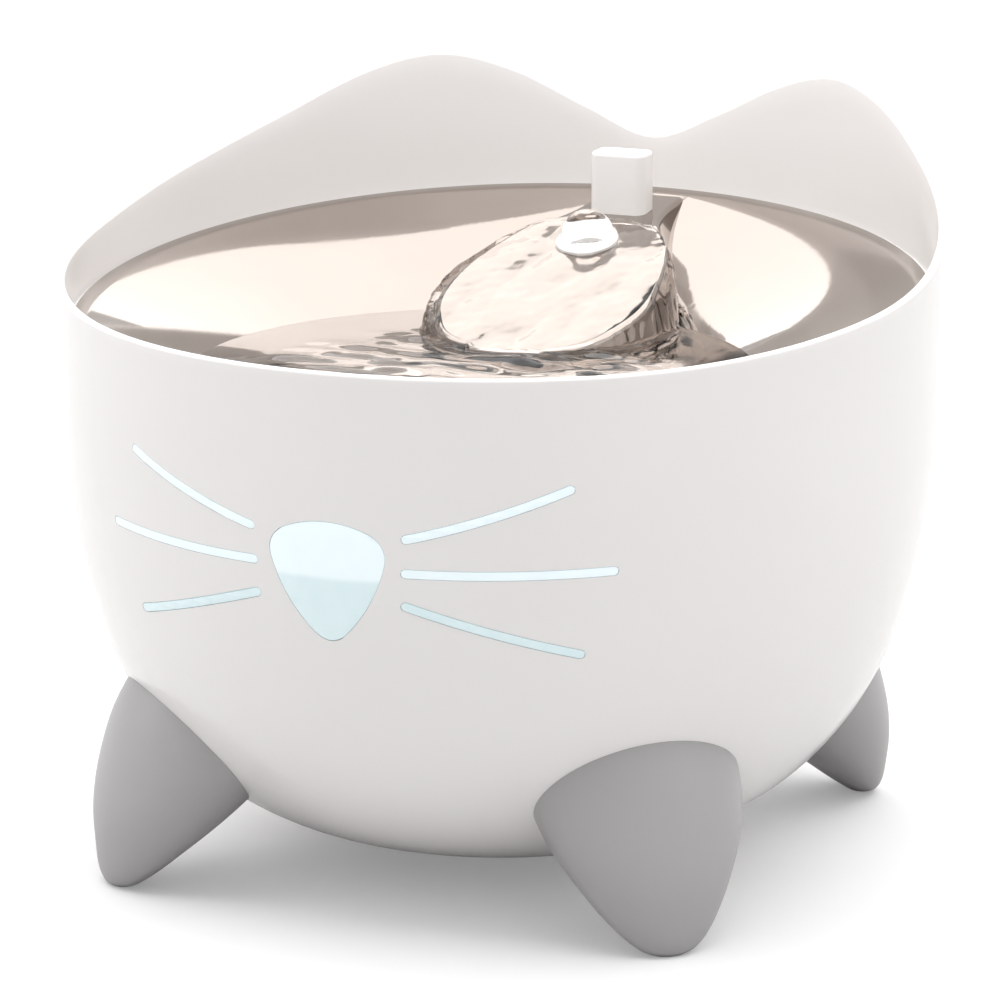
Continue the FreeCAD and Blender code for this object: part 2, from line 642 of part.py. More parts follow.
def volute_cover():
    """The impeller's chamber with its intake grille and the outlet that carries the riser."""
    start = PUMP_Y[1] + 0.02
    end = start + VOLUTE_LENGTH
    outer = along_y(Part.makeCylinder(VOLUTE_RADIUS, VOLUTE_LENGTH), start, PUMP_AXIS_Z)
    chamber = along_y(Part.makeCylinder(VOLUTE_RADIUS - VOLUTE_WALL, VOLUTE_LENGTH - VOLUTE_WALL),
                      start, PUMP_AXIS_Z)
    spout = cylinder(SPOUT_RADIUS, SPOUT_HEIGHT - 2, 0, RISER_Y, PUMP_AXIS_Z + 2)
    bore = cylinder(SPOUT_BORE, SPOUT_HEIGHT + 4, 0, RISER_Y, PUMP_AXIS_Z)
    body = fused([outer, spout]).cut(chamber).cut(bore)
    hub = along_y(Part.makeCylinder(3.2, HUB_DEPTH - 0.6), end - HUB_DEPTH, PUMP_AXIS_Z)
    for number in range(8):
        hole = along_y(Part.makeCylinder(1.5, 8), end - 4, PUMP_AXIS_Z)
        hole.translate(Vector(6.6, 0, 0))
        hole.rotate(Vector(0, 0, PUMP_AXIS_Z), Vector(0, 1, 0), (number + 0.5) * 45)
        body = body.cut(hole)
    socket = along_y(Part.makeCylinder(BUSH_RADIUS + 0.05, BUSH_LENGTH + 0.2), end - HUB_DEPTH, PUMP_AXIS_Z)
    return fused([body, hub]).cut(socket)


def shaft_ends():
    """Where the shaft starts and ends, inside its two bushes."""
    rear = PUMP_Y[1] - ROTOR_LENGTH - 3 - BUSH_LENGTH + 0.2
    front = PUMP_Y[1] + 0.02 + VOLUTE_LENGTH - HUB_DEPTH + BUSH_LENGTH - 0.2
    return rear, front


def rotor_shaft():
    rear, front = shaft_ends()
    return along_y(Part.makeCylinder(SHAFT_RADIUS, front - rear), rear, PUMP_AXIS_Z)


def shaft_bushes():
    """Two rubber bushes that hold the ends of the shaft."""
    rear, front = shaft_ends()
    bush = tube(BUSH_RADIUS, SHAFT_RADIUS + 0.02, BUSH_LENGTH, 0, 0, 0)
    return Part.makeCompound([along_y(bush, rear - 0.15, PUMP_AXIS_Z),
                              along_y(bush, front + 0.15 - BUSH_LENGTH, PUMP_AXIS_Z)])


def rotor_magnet():
    start = PUMP_Y[1] - ROTOR_LENGTH - 2
    magnet = tube(ROTOR_RADIUS, SHAFT_RADIUS + SHAFT_CLEAR, ROTOR_LENGTH, 0, 0, 0)
    return along_y(magnet, start, PUMP_AXIS_Z)


def impeller():
    """Radial blades on a disc, with a hub that sits on the magnet."""
    start = PUMP_Y[1] - 1.98
    hub = cylinder(3.2, 13.0, 0, 0, 0)
    disc = cylinder(IMPELLER_RADIUS, 1.2, 0, 0, 4.0)
    blades = []
    for number in range(IMPELLER_BLADES):
        blade = Part.makeBox(IMPELLER_RADIUS - 1, 1.1, IMPELLER_WIDTH, Vector(0.8, -0.55, 4.0))
        blade.rotate(ORIGIN, UP, number * 360 / IMPELLER_BLADES)
        blades.append(blade)
    wheel = fused([hub, disc] + blades).cut(cylinder(SHAFT_RADIUS + SHAFT_CLEAR, 30, 0, 0, -5))
    return along_y(wheel, start, PUMP_AXIS_Z)


def riser_tube():
    """The straight pipe from the pump up to a bell that takes the nozzle's spigot."""
    low, high = BELL_Z
    pipe = tube(RISER_RADIUS, RISER_BORE, low - RISER_FOOT_Z + 1, 0, RISER_Y, RISER_FOOT_Z)
    shoulder = Part.makeCone(RISER_RADIUS, BELL_RADIUS, 2.0, Vector(0, RISER_Y, low - 1))
    bell = cylinder(BELL_RADIUS, high - low - 1, 0, RISER_Y, low + 1)
    bell_bore = cylinder(SPIGOT_RADIUS + FIT, 20, 0, RISER_Y, low + 1)
    bore = cylinder(RISER_BORE, 90, 0, RISER_Y, RISER_FOOT_Z)
    return fused([pipe, shoulder, bell]).cut(bell_bore).cut(bore)


def support_grid():
    """The perforated plate over the pump that carries the cartridge."""
    radius = CASE_RADIUS - CASE_WALL - FIT
    plate = cylinder(radius, GRID_THICK, 0, CASE_Y, GRID_Z + 0.02).cut(riser_gap(RISER_HOLE))
    rows = int(radius / GRID_STEP) + 1
    holes = []
    for row in range(-rows, rows + 1):
        for column in range(-rows, rows + 1):
            x = (column + 0.5 * (row % 2)) * GRID_STEP
            y = row * GRID_STEP * math.sqrt(0.75)
            clear_of_riser = math.hypot(x, CASE_Y + y - RISER_Y) > RISER_HOLE + GRID_HOLE + 1.5
            if math.hypot(x, y) < radius - GRID_HOLE - 2.5 and clear_of_riser:
                holes.append(cylinder(GRID_HOLE, GRID_THICK + 2, x, CASE_Y + y, GRID_Z - 1))
    return plate.cut(Part.makeCompound(holes))


def cartridge_slice(inset, low, high):
    """A slice of the cartridge: round, with the riser's gap, drawn in by the inset."""
    radius = CASE_RADIUS - CASE_WALL - FIT * 2 - inset
    piece = cylinder(radius, high - low, 0, CASE_Y, low)
    return piece.cut(riser_gap(RISER_HOLE + inset))


def cartridge_base():
    return GRID_Z + GRID_THICK + 0.04


def cartridge_frame():
    """The cartridge's plastic wall with three bars across its top and its foot."""
    low = cartridge_base()
    high = low + CARTRIDGE_HEIGHT
    wall = cartridge_slice(0.0, low, high).cut(cartridge_slice(CARTRIDGE_WALL, low - 1, high + 1))
    bars = []
    for x in (-16.0, 0.0, 16.0):
        for z in (low, high - 1.2):
            bars.append(block(2.0, 90, 1.2, x, CASE_Y, z).common(cartridge_slice(0.4, low, high)))
    return fused([wall] + bars)


def foam_pad():
    low = cartridge_base() + 1.2 + FIT
    return cartridge_slice(CARTRIDGE_WALL + FIT, low, low + FOAM_HEIGHT)


def carbon_pouch():
    """The cloth pouch of granules on the foam."""
    low = cartridge_base() + 1.2 + FIT * 2 + FOAM_HEIGHT
    high = cartridge_base() + CARTRIDGE_HEIGHT - 1.2 - FIT
    return cartridge_slice(CARTRIDGE_WALL + FIT, low, high)


def filter_lid():
    """The cap of the filter case: a skirt outside the wall, slots for the water, a finger knob."""
    low = CASE_Z[1] + 0.02
    outer = CASE_RADIUS + FIT + 1.8
    top = cylinder(outer, LID_THICK, 0, CASE_Y, low)
    skirt = tube(outer, CASE_RADIUS + FIT, LID_SKIRT + 1, 0, CASE_Y, low - LID_SKIRT)
    knob = cylinder(LID_KNOB[0], LID_KNOB[1], 0, CASE_Y, low + LID_THICK - 0.5)
    waist = tube(LID_KNOB[0] + 1, LID_KNOB[0] - 1.8, 3.2, 0, CASE_Y, low + LID_THICK + 0.6)
    lid = fused([top, skirt, knob]).cut(waist)
    for number in range(LID_SLOTS):
        angle = (number + 0.5) * 360 / LID_SLOTS
        slot = block(3.0, 20, 6, 0, 23, low - 2)
        slot.rotate(ORIGIN, UP, angle)
        slot.translate(Vector(0, CASE_Y, 0))
        if slot.common(cylinder(RISER_HOLE + 2, 20, 0, RISER_Y, low - 5)).Volume < 0.01:
            lid = lid.cut(slot)
    return lid.cut(cylinder(RISER_HOLE, 20, 0, RISER_Y, low - 5))


def cord_grommet():
    """The rubber grommet in the port at the back, with flanges on both sides of the wall."""
    neck = PORT_RADIUS - 0.1
    flange = PORT_RADIUS + GROMMET_FLANGE
    inside = BOWL_RADIUS - WALL - 0.6
    outside = BOWL_RADIUS + FIT
    profile = polyline(((GROMMET_BORE, inside - 2.0), (flange - 0.6, inside - 2.0), (flange, inside - 1.4),
                        (flange, inside), (neck, inside), (neck, outside), (flange, outside),
                        (flange, outside + 1.0), (flange - 1.4, outside + 2.0),
                        (GROMMET_BORE, outside + 2.0)))
    return along_y(spun(profile), 0, PORT_Z)


def main():
    pieces = {
        "bowl_shell": bowl_shell(),
        "face_window": face_window(),
        "foot_front_left": foot(-FOOT_ANGLE),
        "foot_front_right": foot(FOOT_ANGLE),
        "foot_rear_left": foot(FOOT_ANGLE - 180),
        "foot_rear_right": foot(180 - FOOT_ANGLE),
        "drinking_tray": drinking_tray(),
        "nozzle_ring": nozzle_ring(),
        "nozzle_nut": nozzle_nut(),
        "grip_block": grip_block(),
        "grip_clip": grip_clip(),
        "filter_case": filter_case(),
        "suction_cups": suction_cups(),
        "pump_body": pump_body(),
        "cord_gland": cord_gland(),
        "led_lens": led_lens(),
        "volute_cover": volute_cover(),
        "rotor_shaft": rotor_shaft(),
        "shaft_bushes": shaft_bushes(),
        "rotor_magnet": rotor_magnet(),
        "impeller": impeller(),
        "riser_tube": riser_tube(),
        "support_grid": support_grid(),
        "cartridge_frame": cartridge_frame(),
        "foam_pad": foam_pad(),
        "carbon_pouch": carbon_pouch(),
        "filter_lid": filter_lid(),
        "cord_grommet": cord_grommet(),
    }
    for name, shape in pieces.items():
        save(name, shape)


main()
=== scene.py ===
# %% [markdown]
# # A water fountain for cats
# The object is a white bowl that stands on four horn feet. Its rear rim rises into two ears,
# and its front wall has seven clear windows that draw a nose and six whiskers. Inside lie a
# polished steel tray with a raised ramp, a nozzle, the water, and a pump with its filter.
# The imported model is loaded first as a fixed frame. Everything new is placed in that frame,
# in metres, so each piece goes where the frame says.

# %% Load the frame
import bmesh
import bpy
import json
import math
from mathutils import Matrix, Vector, noise


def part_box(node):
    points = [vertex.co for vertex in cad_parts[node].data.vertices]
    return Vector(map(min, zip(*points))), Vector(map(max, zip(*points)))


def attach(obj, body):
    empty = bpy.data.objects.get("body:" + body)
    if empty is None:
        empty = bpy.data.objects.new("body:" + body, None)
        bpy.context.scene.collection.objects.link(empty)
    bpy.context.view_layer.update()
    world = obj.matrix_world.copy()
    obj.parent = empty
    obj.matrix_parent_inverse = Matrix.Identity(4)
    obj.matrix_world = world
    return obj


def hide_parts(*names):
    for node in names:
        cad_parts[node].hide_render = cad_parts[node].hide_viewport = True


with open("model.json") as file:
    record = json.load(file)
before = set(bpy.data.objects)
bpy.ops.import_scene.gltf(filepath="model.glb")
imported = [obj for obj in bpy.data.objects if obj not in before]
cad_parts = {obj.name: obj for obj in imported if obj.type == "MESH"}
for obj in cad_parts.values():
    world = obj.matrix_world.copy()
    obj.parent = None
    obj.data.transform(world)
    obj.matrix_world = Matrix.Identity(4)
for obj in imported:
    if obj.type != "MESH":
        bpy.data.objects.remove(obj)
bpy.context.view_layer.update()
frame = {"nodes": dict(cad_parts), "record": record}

noise.seed_set(7)
MM = 0.001

# %% [markdown]
# ## Helpers for meshes
# Most pieces are turned on a lathe or grow from an outline, so a few helpers cover them.
# `turned` spins a profile about the vertical axis. `settle` makes a bmesh into an object
# with its place in its mesh. `carve` applies a boolean at once, because a live boolean would
# need its tool to stay in the scene.

# %% Make an object from a bmesh
def settle(bm, name, sharp=32.0, recalc=True):
    bmesh.ops.remove_doubles(bm, verts=bm.verts, dist=1e-6)
    if recalc:
        bmesh.ops.recalc_face_normals(bm, faces=bm.faces)
    mesh = bpy.data.meshes.new(name)
    bm.to_mesh(mesh)
    bm.free()
    mesh.shade_smooth()
    mesh.set_sharp_from_angle(angle=math.radians(sharp))
    piece = bpy.data.objects.new(name, mesh)
    bpy.context.scene.collection.objects.link(piece)
    return piece


# %% Turn a profile
def turned(profile, steps=192):
    """A closed body from (radius, height) points in millimetres, spun about the Z axis."""
    bm = bmesh.new()
    verts = [bm.verts.new((r * MM, 0, z * MM)) for r, z in profile]
    for a, b in zip(verts, verts[1:]):
        bm.edges.new((a, b))
    if profile[0][0] > 0 or profile[-1][0] > 0:
        bm.edges.new((verts[-1], verts[0]))
    bmesh.ops.spin(bm, geom=bm.verts[:] + bm.edges[:], cent=(0, 0, 0), axis=(0, 0, 1),
                   angle=2 * math.pi, steps=steps, use_merge=True, use_duplicate=False)
    bmesh.ops.remove_doubles(bm, verts=bm.verts, dist=1e-6)
    bmesh.ops.recalc_face_normals(bm, faces=bm.faces)
    return bm


# %% Small steps on a bmesh
def scaled(numbers):
    """Millimetres as metres."""
    return tuple(number * MM for number in numbers)


def unique(items):
    """The items once each, in their first order, so that every run is the same."""
    return list(dict.fromkeys(items))


def turn_about_z(bm, degrees):
    bmesh.ops.rotate(bm, verts=bm.verts, cent=(0, 0, 0),
                     matrix=Matrix.Rotation(math.radians(degrees), 3, "Z"))


def add_box(bm, centre, size, turn=Matrix.Identity(4)):
    """A box of a size in millimetres, optionally turned about the origin."""
    return bmesh.ops.create_cube(bm, size=1.0, matrix=turn @ Matrix.Translation(scaled(centre))
                                 @ Matrix.Diagonal((*scaled(size), 1)))


def round_edges(bm, edges, offset, segments):
    bmesh.ops.bevel(bm, geom=edges, offset=offset * MM, offset_type="OFFSET", affect="EDGES",
                    segments=segments, profile=0.5, material=-1)


def upright_edges(edges):
    return [e for e in edges if abs(e.verts[0].co.z - e.verts[1].co.z) > 10 * MM]


def absorb(bm, other):
    """Add another bmesh's faces to bm."""
    holder = bpy.data.meshes.new("holder")
    other.to_mesh(holder)
    other.free()
    bm.from_mesh(holder)


# %% Apply modifiers and booleans
def baked(piece):
    """Replace the piece's mesh by what its modifiers make of it."""
    seen = piece.evaluated_get(bpy.context.evaluated_depsgraph_get())
    mesh = bpy.data.meshes.new_from_object(seen)
    piece.modifiers.clear()
    piece.data = mesh
    return piece


def carve(piece, tool, how="DIFFERENCE", keep_tool=False):
    cut = piece.modifiers.new("cut", "BOOLEAN")
    cut.operation = how
    cut.solver = "EXACT"
    cut.object = tool
    baked(piece)
    if not keep_tool:
        bpy.data.objects.remove(tool)
    return piece


def revoxel(piece, size):
    """Rebuild the piece's mesh with small even faces."""
    rebuilt = piece.modifiers.new("even", "REMESH")
    rebuilt.mode = "VOXEL"
    rebuilt.voxel_size = size * MM
    return baked(piece)


def relax(bm, verts):
    bmesh.ops.smooth_vert(bm, verts=verts, factor=0.5, use_axis_x=True, use_axis_y=True, use_axis_z=True)


def smooth_again(piece, sharp):
    piece.data.shade_smooth()
    piece.data.set_sharp_from_angle(angle=math.radians(sharp))
    return piece


# %% [markdown]
# A table of measured sizes has to become a smooth line. `eased` reads a table as a curve
# that passes through each of its rows, with the slope at a row taken from its neighbours.
# `spline` does the same for a run of points in a plane.
# `step_between` goes softly from 0 to 1 between two limits.

# %% Smooth tables and outlines
def eased(table, x):
    """The values of a table's row at x, on a smooth curve through the rows."""
    last = len(table) - 1
    k = 0
    while k < last - 1 and x > table[k + 1][0]:
        k += 1

    def slope(i, column):
        a, b = max(i - 1, 0), min(i + 1, last)
        return (table[b][column] - table[a][column]) / (table[b][0] - table[a][0])

    span = table[k + 1][0] - table[k][0]
    t = min(max((x - table[k][0]) / span, 0.0), 1.0)
    found = []
    for column in range(1, len(table[0])):
        p, q = table[k][column], table[k + 1][column]
        m, n = slope(k, column) * span, slope(k + 1, column) * span
        found.append((2 * t**3 - 3 * t**2 + 1) * p + (t**3 - 2 * t**2 + t) * m
                     + (3 * t**2 - 2 * t**3) * q + (t**3 - t**2) * n)
    return found[0] if len(found) == 1 else found


def spline(points, per=8):
    """Points on a smooth open curve through the given ones."""
    rows = [(0.0, *points[0])]
    for a, b in zip(points, points[1:]):
        rows.append((rows[-1][0] + math.dist(a, b) ** 0.7, *b))
    line = []
    for a, b in zip(rows, rows[1:]):
        line += [tuple(eased(rows, a[0] + (b[0] - a[0]) * k / per)) for k in range(per)]
    return line + [tuple(points[-1])]


def step_between(low, high, x):
    t = min(max((x - low) / (high - low), 0.0), 1.0)
    return t * t * (3 - 2 * t)


# %% [markdown]
# ## Helpers for finishes
# A finish is a node tree. `Value` wraps one socket and lets shader maths read like Python,
# so `rough = 0.2 + 0.1 * grain` adds the two Math nodes by itself. `Finish` starts from the
# Principled shader, sets its constant sockets directly, and makes any other node by its type.

# %% Shader maths
class Value:
    """One output socket, with arithmetic."""

    def __init__(self, finish, socket):
        self.finish = finish
        self.socket = socket

    def math(self, operation, first, second):
        return self.finish.node("Math", {"operation": operation}, {0: first, 1: second})

    def __add__(self, other): return self.math("ADD", self, other)
    def __radd__(self, other): return self.math("ADD", other, self)
    def __mul__(self, other): return self.math("MULTIPLY", self, other)
    def __rmul__(self, other): return self.math("MULTIPLY", other, self)
    def __pow__(self, other): return self.math("POWER", self, other)


class Finish:
    """A procedural material built round one Principled shader."""

    def __init__(self, name, **constants):
        self.material = bpy.data.materials.new(name)
        self.material.use_nodes = True
        self.tree = self.material.node_tree
        self.shader = self.tree.nodes["Principled BSDF"]
        for key, value in constants.items():
            self.shader.inputs[key.replace("_", " ")].default_value = value

    def node(self, kind, settings=None, inputs=None, output=0):
        made = self.tree.nodes.new("ShaderNode" + kind)
        for key, value in (settings or {}).items():
            if key == "stops":
                while len(made.color_ramp.elements) < len(value):
                    made.color_ramp.elements.new(0.5)
                for stop, (place, colour) in zip(made.color_ramp.elements, value):
                    stop.position = place
                    stop.color = (*colour, 1.0)
            else:
                setattr(made, key, value)
        for key, value in (inputs or {}).items():
            self.put(made.inputs[key], value)
        return Value(self, made.outputs[output])

    def put(self, socket, value):
        if isinstance(value, Value):
            self.tree.links.new(value.socket, socket)
        else:
            socket.default_value = value

    def feed(self, **links):
        for key, value in links.items():
            self.put(self.shader.inputs[key.replace("_", " ")], value)
        return self

    def place(self):
        return self.node("TexCoord", output="Object")

    def grain(self, scale, detail=3.0, stretch=(1, 1, 1), distortion=0.0):
        """Noise in object space: scale is in features per metre."""
        where = self.node("Mapping", inputs={"Vector": self.place(), "Scale": stretch})
        return self.node("TexNoise", inputs={"Vector": where, "Scale": scale, "Detail": detail,
                                             "Distortion": distortion})

    def mix(self, factor, first, second):
        """A colour between two colours."""
        return self.node("Mix", {"data_type": "RGBA"},
                         {"Factor": factor, 6: (*first, 1.0), 7: (*second, 1.0)}, output=2)

    def bumps(self, height, strength, distance):
        return self.node("Bump", inputs={"Height": height, "Strength": strength, "Distance": distance})


# %% [markdown]
# ## The plastics
# The bowl is glossy white moulding. A mould leaves a very slight waviness and a trace of haze,
# so the roughness drifts a little and a fine bump breaks the reflections. The feet are satin
# grey with the fine grain of a spark-eroded mould.

# %% White and grey plastics
def white_plastic():
    made = Finish("white_gloss_plastic", IOR=1.5, Coat_Weight=0.25, Coat_Roughness=0.06)
    cloud = made.grain(14.0, 2.0)
    haze = made.grain(60.0, 4.0)
    peel = made.grain(420.0, 2.0)
    return made.feed(Base_Color=made.mix(cloud, (0.83, 0.805, 0.79), (0.87, 0.85, 0.84)),
                     Roughness=0.16 + 0.10 * haze, Normal=made.bumps(peel, 0.05, 0.0004)).material


def grey_plastic():
    made = Finish("grey_satin_plastic", IOR=1.5)
    cloud = made.grain(18.0, 2.0)
    spark = made.grain(2600.0, 2.0)
    return made.feed(Base_Color=made.mix(cloud, (0.375, 0.366, 0.366), (0.415, 0.406, 0.406)),
                     Roughness=0.34 + 0.10 * spark, Normal=made.bumps(spark, 0.14, 0.0003)).material


def inner_plastic():
    made = Finish("satin_white_plastic", IOR=1.5)
    cloud = made.grain(25.0, 3.0)
    spark = made.grain(2200.0, 2.0)
    return made.feed(Base_Color=made.mix(cloud, (0.74, 0.75, 0.76), (0.80, 0.80, 0.80)),
                     Roughness=0.40 + 0.12 * spark, Normal=made.bumps(spark, 0.12, 0.0003)).material


# %% [markdown]
# The windows are a clear blue moulding in front of the lit reservoir. The light from the water
# behind is painted into their colour: a paler part above its line and a bluer part below, mottled
# by a painted caustic pattern. The same colour is given as a faint emission, so the windows glow
# though they are no lamp. The line is painted at one height of the object, with a slow wobble, so
# it stays where it is from every side.

# %% Clear blue plastic
def clear_blue():
    # painted light: the faint emission makes the clear windows glow, as if lit from behind
    made = Finish("clear_blue_plastic_painted_glow", IOR=1.49, Roughness=0.05, Transmission_Weight=0.12,
                  Coat_Weight=0.3, Coat_Roughness=0.03, Emission_Strength=0.16)
    split = made.node("SeparateXYZ", inputs={0: made.place()}, output="Z")
    wobble = made.grain(45.0, 2.0)
    below = made.node("MapRange", {"interpolation_type": "SMOOTHSTEP"},
                      {0: split + 0.002 * wobble, 1: 104.5 * MM, 2: 106.5 * MM, 3: 1.0, 4: 0.0})
    # painted caustic light: a mottled pattern of light from the water, mixed into the painted colours
    painted_caustic_light = made.grain(70.0, 3.0, distortion=1.2)
    upper = made.mix(painted_caustic_light, (0.82, 0.92, 0.95), (0.90, 0.97, 1.0))
    lower = made.mix(painted_caustic_light, (0.66, 0.79, 0.82), (0.76, 0.87, 0.89))
    colour = made.node("Mix", {"data_type": "RGBA"}, {"Factor": below, 6: upper, 7: lower}, output=2)
    # the painted colour of the lit water is used both as the base colour and as the glow
    return made.feed(Base_Color=colour, Emission_Color=colour,
                     Normal=made.bumps(made.grain(160.0, 2.0), 0.06, 0.0005)).material


# %% [markdown]
# ## Steel and water
# The tray is mirror-polished stainless steel. A mirror needs almost no colour of its own; what
# makes it look like metal is what it reflects, a slight warm tint, and wiping smudges that
# widen its highlights here and there. The water bends light a little less than real water
# does, which keeps the steel under it bright.

# %% Steels
def polished_steel():
    made = Finish("polished_steel", Metallic=1.0)
    smudge = made.grain(28.0, 5.0, distortion=0.8)
    buff = made.grain(900.0, 2.0, stretch=(1, 0.06, 1))
    return made.feed(Base_Color=made.mix(smudge, (0.345, 0.30, 0.27), (0.375, 0.33, 0.30)),
                     Roughness=0.035 + 0.06 * smudge * smudge,
                     Normal=made.bumps(buff, 0.02, 0.0002)).material


def ground_steel():
    made = Finish("ground_steel", Metallic=1.0)
    lines = made.grain(4000.0, 2.0, stretch=(0.05, 1, 1))
    return made.feed(Base_Color=made.mix(lines, (0.50, 0.50, 0.51), (0.62, 0.62, 0.62)),
                     Roughness=0.22 + 0.12 * lines, Normal=made.bumps(lines, 0.1, 0.0002)).material


# %% Water
def water():
    made = Finish("water", IOR=1.2, Transmission_Weight=1.0, Roughness=0.0)
    swirl = made.grain(75.0, 2.0, distortion=0.8)
    return made.feed(Base_Color=made.mix(swirl, (0.985, 0.975, 0.965), (1.0, 1.0, 1.0)),
                     Normal=made.bumps(swirl, 0.05, 0.0012)).material


# %% [markdown]
# ## Inner materials
# The pump's housing is potted in black resin, the cups and sleeves are rubber, the rotor is
# dark ferrite with bright specks. The filter has open foam, whose pores are the cells of a
# Voronoi pattern, painted darker towards their middles as shade inside the holes, and a pouch of
# pressed fibre cloth with embossed dots.

# %% Pump, rubber and magnet
def black_resin():
    made = Finish("black_potted_plastic", IOR=1.5)
    spark = made.grain(1800.0, 3.0)
    cloud = made.grain(40.0, 3.0)
    return made.feed(Base_Color=made.mix(cloud, (0.028, 0.029, 0.032), (0.045, 0.046, 0.05)),
                     Roughness=0.42 + 0.16 * spark, Normal=made.bumps(spark, 0.2, 0.0003)).material


def soft_rubber():
    made = Finish("soft_grey_rubber", IOR=1.5)
    dust = made.grain(300.0, 5.0)
    return made.feed(Base_Color=made.mix(dust, (0.20, 0.20, 0.205), (0.27, 0.27, 0.275)),
                     Roughness=0.62 + 0.18 * dust, Normal=made.bumps(dust, 0.12, 0.0003)).material


def ferrite():
    made = Finish("dark_ferrite", IOR=1.6)
    specks = made.grain(5000.0, 2.0)
    return made.feed(Base_Color=made.mix(specks ** 3.0, (0.045, 0.045, 0.05), (0.16, 0.16, 0.17)),
                     Roughness=0.5 + 0.2 * specks, Normal=made.bumps(specks, 0.15, 0.0002)).material


# %% Foam and cloth
def open_foam():
    made = Finish("open_dark_foam", IOR=1.4, Roughness=0.95, Sheen_Weight=0.2)
    cells = made.node("TexVoronoi", {"feature": "F1"}, {"Vector": made.place(), "Scale": 620.0})
    # painted shade: each Voronoi cell is darkest at its middle, as the shade inside a pore
    painted_pore_shade = made.node("ValToRGB", {"stops": [(0.15, (0.012, 0.012, 0.013)), (0.6, (0.10, 0.10, 0.105))]},
                      {0: cells})
    return made.feed(Base_Color=painted_pore_shade, Normal=made.bumps(cells, 0.9, 0.0008)).material


def pressed_cloth():
    made = Finish("pressed_white_cloth", IOR=1.4, Roughness=0.9, Sheen_Weight=0.35)
    fibre = made.grain(1500.0, 5.0, distortion=2.5)
    dots = made.node("TexVoronoi", {"feature": "F1"}, {"Vector": made.place(), "Scale": 330.0,
                                                       "Randomness": 0.12})
    relief = 0.35 * fibre + dots
    return made.feed(Base_Color=made.mix(fibre, (0.72, 0.73, 0.74), (0.90, 0.905, 0.91)),
                     Normal=made.bumps(relief, 0.5, 0.0006)).material


# %% Give every slot its finish
finishes = {
    "white_plastic": white_plastic(), "grey_plastic": grey_plastic(), "clear_blue": clear_blue(),
    "polished_steel": polished_steel(), "inner_white": inner_plastic(), "black_plastic": black_resin(),
    "rubber": soft_rubber(), "shaft_steel": ground_steel(), "magnet": ferrite(), "foam": open_foam(),
    "pouch_cloth": pressed_cloth(),
}
water_finish = water()
slots = {part["node"]: part["material_slot"] for part in frame["record"]["subparts"]}
for node, piece in frame["nodes"].items():
    piece.data.materials.clear()
    piece.data.materials.append(finishes[slots[node]])
print("finishes", len(finishes))


def finished(piece, body, slot, nodes=(), material=None):
    """Give a new piece its finish, its body and the nodes it stands for."""
    piece.data.materials.clear()
    piece.data.materials.append(material or finishes[slot])
    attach(piece, body)
    if nodes:
        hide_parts(*nodes)
    print(piece.name, len(piece.data.polygons), "faces")
    return piece


# %% [markdown]
# ## The bowl
# The belly is a squared-off curve, as a soft moulding has, and rises into a straight wall.
# It could be modelled as a box with many subdivisions, but its outside is round from above, so
# a turned profile gives a cleaner surface. Only the rim isn't round: its height follows a table
# of angle against height, and the wall's upper part is stretched to meet it.

# %% Belly curve
WALL = 2.5
BOWL_RADIUS = 122.5
WIDEST_Z = 149.0
BASE_Z = 8.2
BASE_RADIUS = 48.0
CORE = 20.0
BELLY_LOW = 7.0
SIDE_POWER = 2.558
DEPTH_POWER = 2.633
RIM_TOP = 205.0
LIP = 1.0
EAR_LEAN = 1.3
RIM_HEIGHTS = ((-30, 160.0), (0, 159.5), (40, 160.1), (65, 163.2), (90, 169.0), (110, 178.8), (125, 188.7),
               (140, 201.2), (150, 205.0), (160, 199.8), (170, 189.6), (180, 181.4), (190, 189.6))


def belly(turn, inwards=0.0):
    """A point of the belly curve, moved inwards along its normal."""
    def spot(t):
        return (CORE + (BOWL_RADIUS - CORE) * math.sin(t) ** (2 / SIDE_POWER),
                WIDEST_Z - (WIDEST_Z - BELLY_LOW) * math.cos(t) ** (2 / DEPTH_POWER))
    a, b = spot(max(turn - 1e-4, 1e-6)), spot(min(turn + 1e-4, math.pi / 2 - 1e-6))
    run, rise = b[0] - a[0], b[1] - a[1]
    length = math.hypot(run, rise)
    r, z = spot(turn)
    return r - inwards * rise / length, z + inwards * run / length


def belly_line(inwards, count):
    first = math.asin(((BASE_RADIUS - CORE) / (BOWL_RADIUS - CORE)) ** (SIDE_POWER / 2))
    last = math.pi / 2 - 0.02
    points = [belly(first + (last - first) * k / count, inwards) for k in range(count)]
    return points + [(BOWL_RADIUS - inwards, WIDEST_Z)]


def wall_radius(z):
    """The bowl's outside radius at a height of the belly, in millimetres."""
    t = math.acos(min(max((WIDEST_Z - z) / (WIDEST_Z - BELLY_LOW), 0.0), 1.0) ** (DEPTH_POWER / 2))
    return CORE + (BOWL_RADIUS - CORE) * math.sin(t) ** (2 / SIDE_POWER)


def rim_height(x, y):
    angle = abs(math.degrees(math.atan2(x, -y)))
    return eased(RIM_HEIGHTS, angle)


# %% Turn the bowl and raise its rim
def bowl_profile():
    outside = belly_line(0.0, 40)
    inside = belly_line(WALL, 30)
    lip = []
    for k in range(5):
        turn = math.pi / 2 * k / 4
        lip.append((BOWL_RADIUS - LIP + LIP * math.cos(turn), RIM_TOP - LIP + LIP * math.sin(turn)))
    inner_lip = [(2 * BOWL_RADIUS - WALL - r, z) for r, z in reversed(lip)]
    straight = [(BOWL_RADIUS, WIDEST_Z + (RIM_TOP - LIP - WIDEST_Z) * k / 8) for k in range(1, 8)]
    inner_straight = [(r - WALL, z) for r, z in reversed(straight)]
    base = [(0.0, BASE_Z), (BASE_RADIUS - 3.0, BASE_Z), (BASE_RADIUS - 1.2, BASE_Z + 0.1)]
    floor = [(BASE_RADIUS - 3.0, BASE_Z + 3.0), (0.0, BASE_Z + 3.0)]
    return base + outside + straight + lip + inner_lip + inner_straight + inside[::-1] + floor


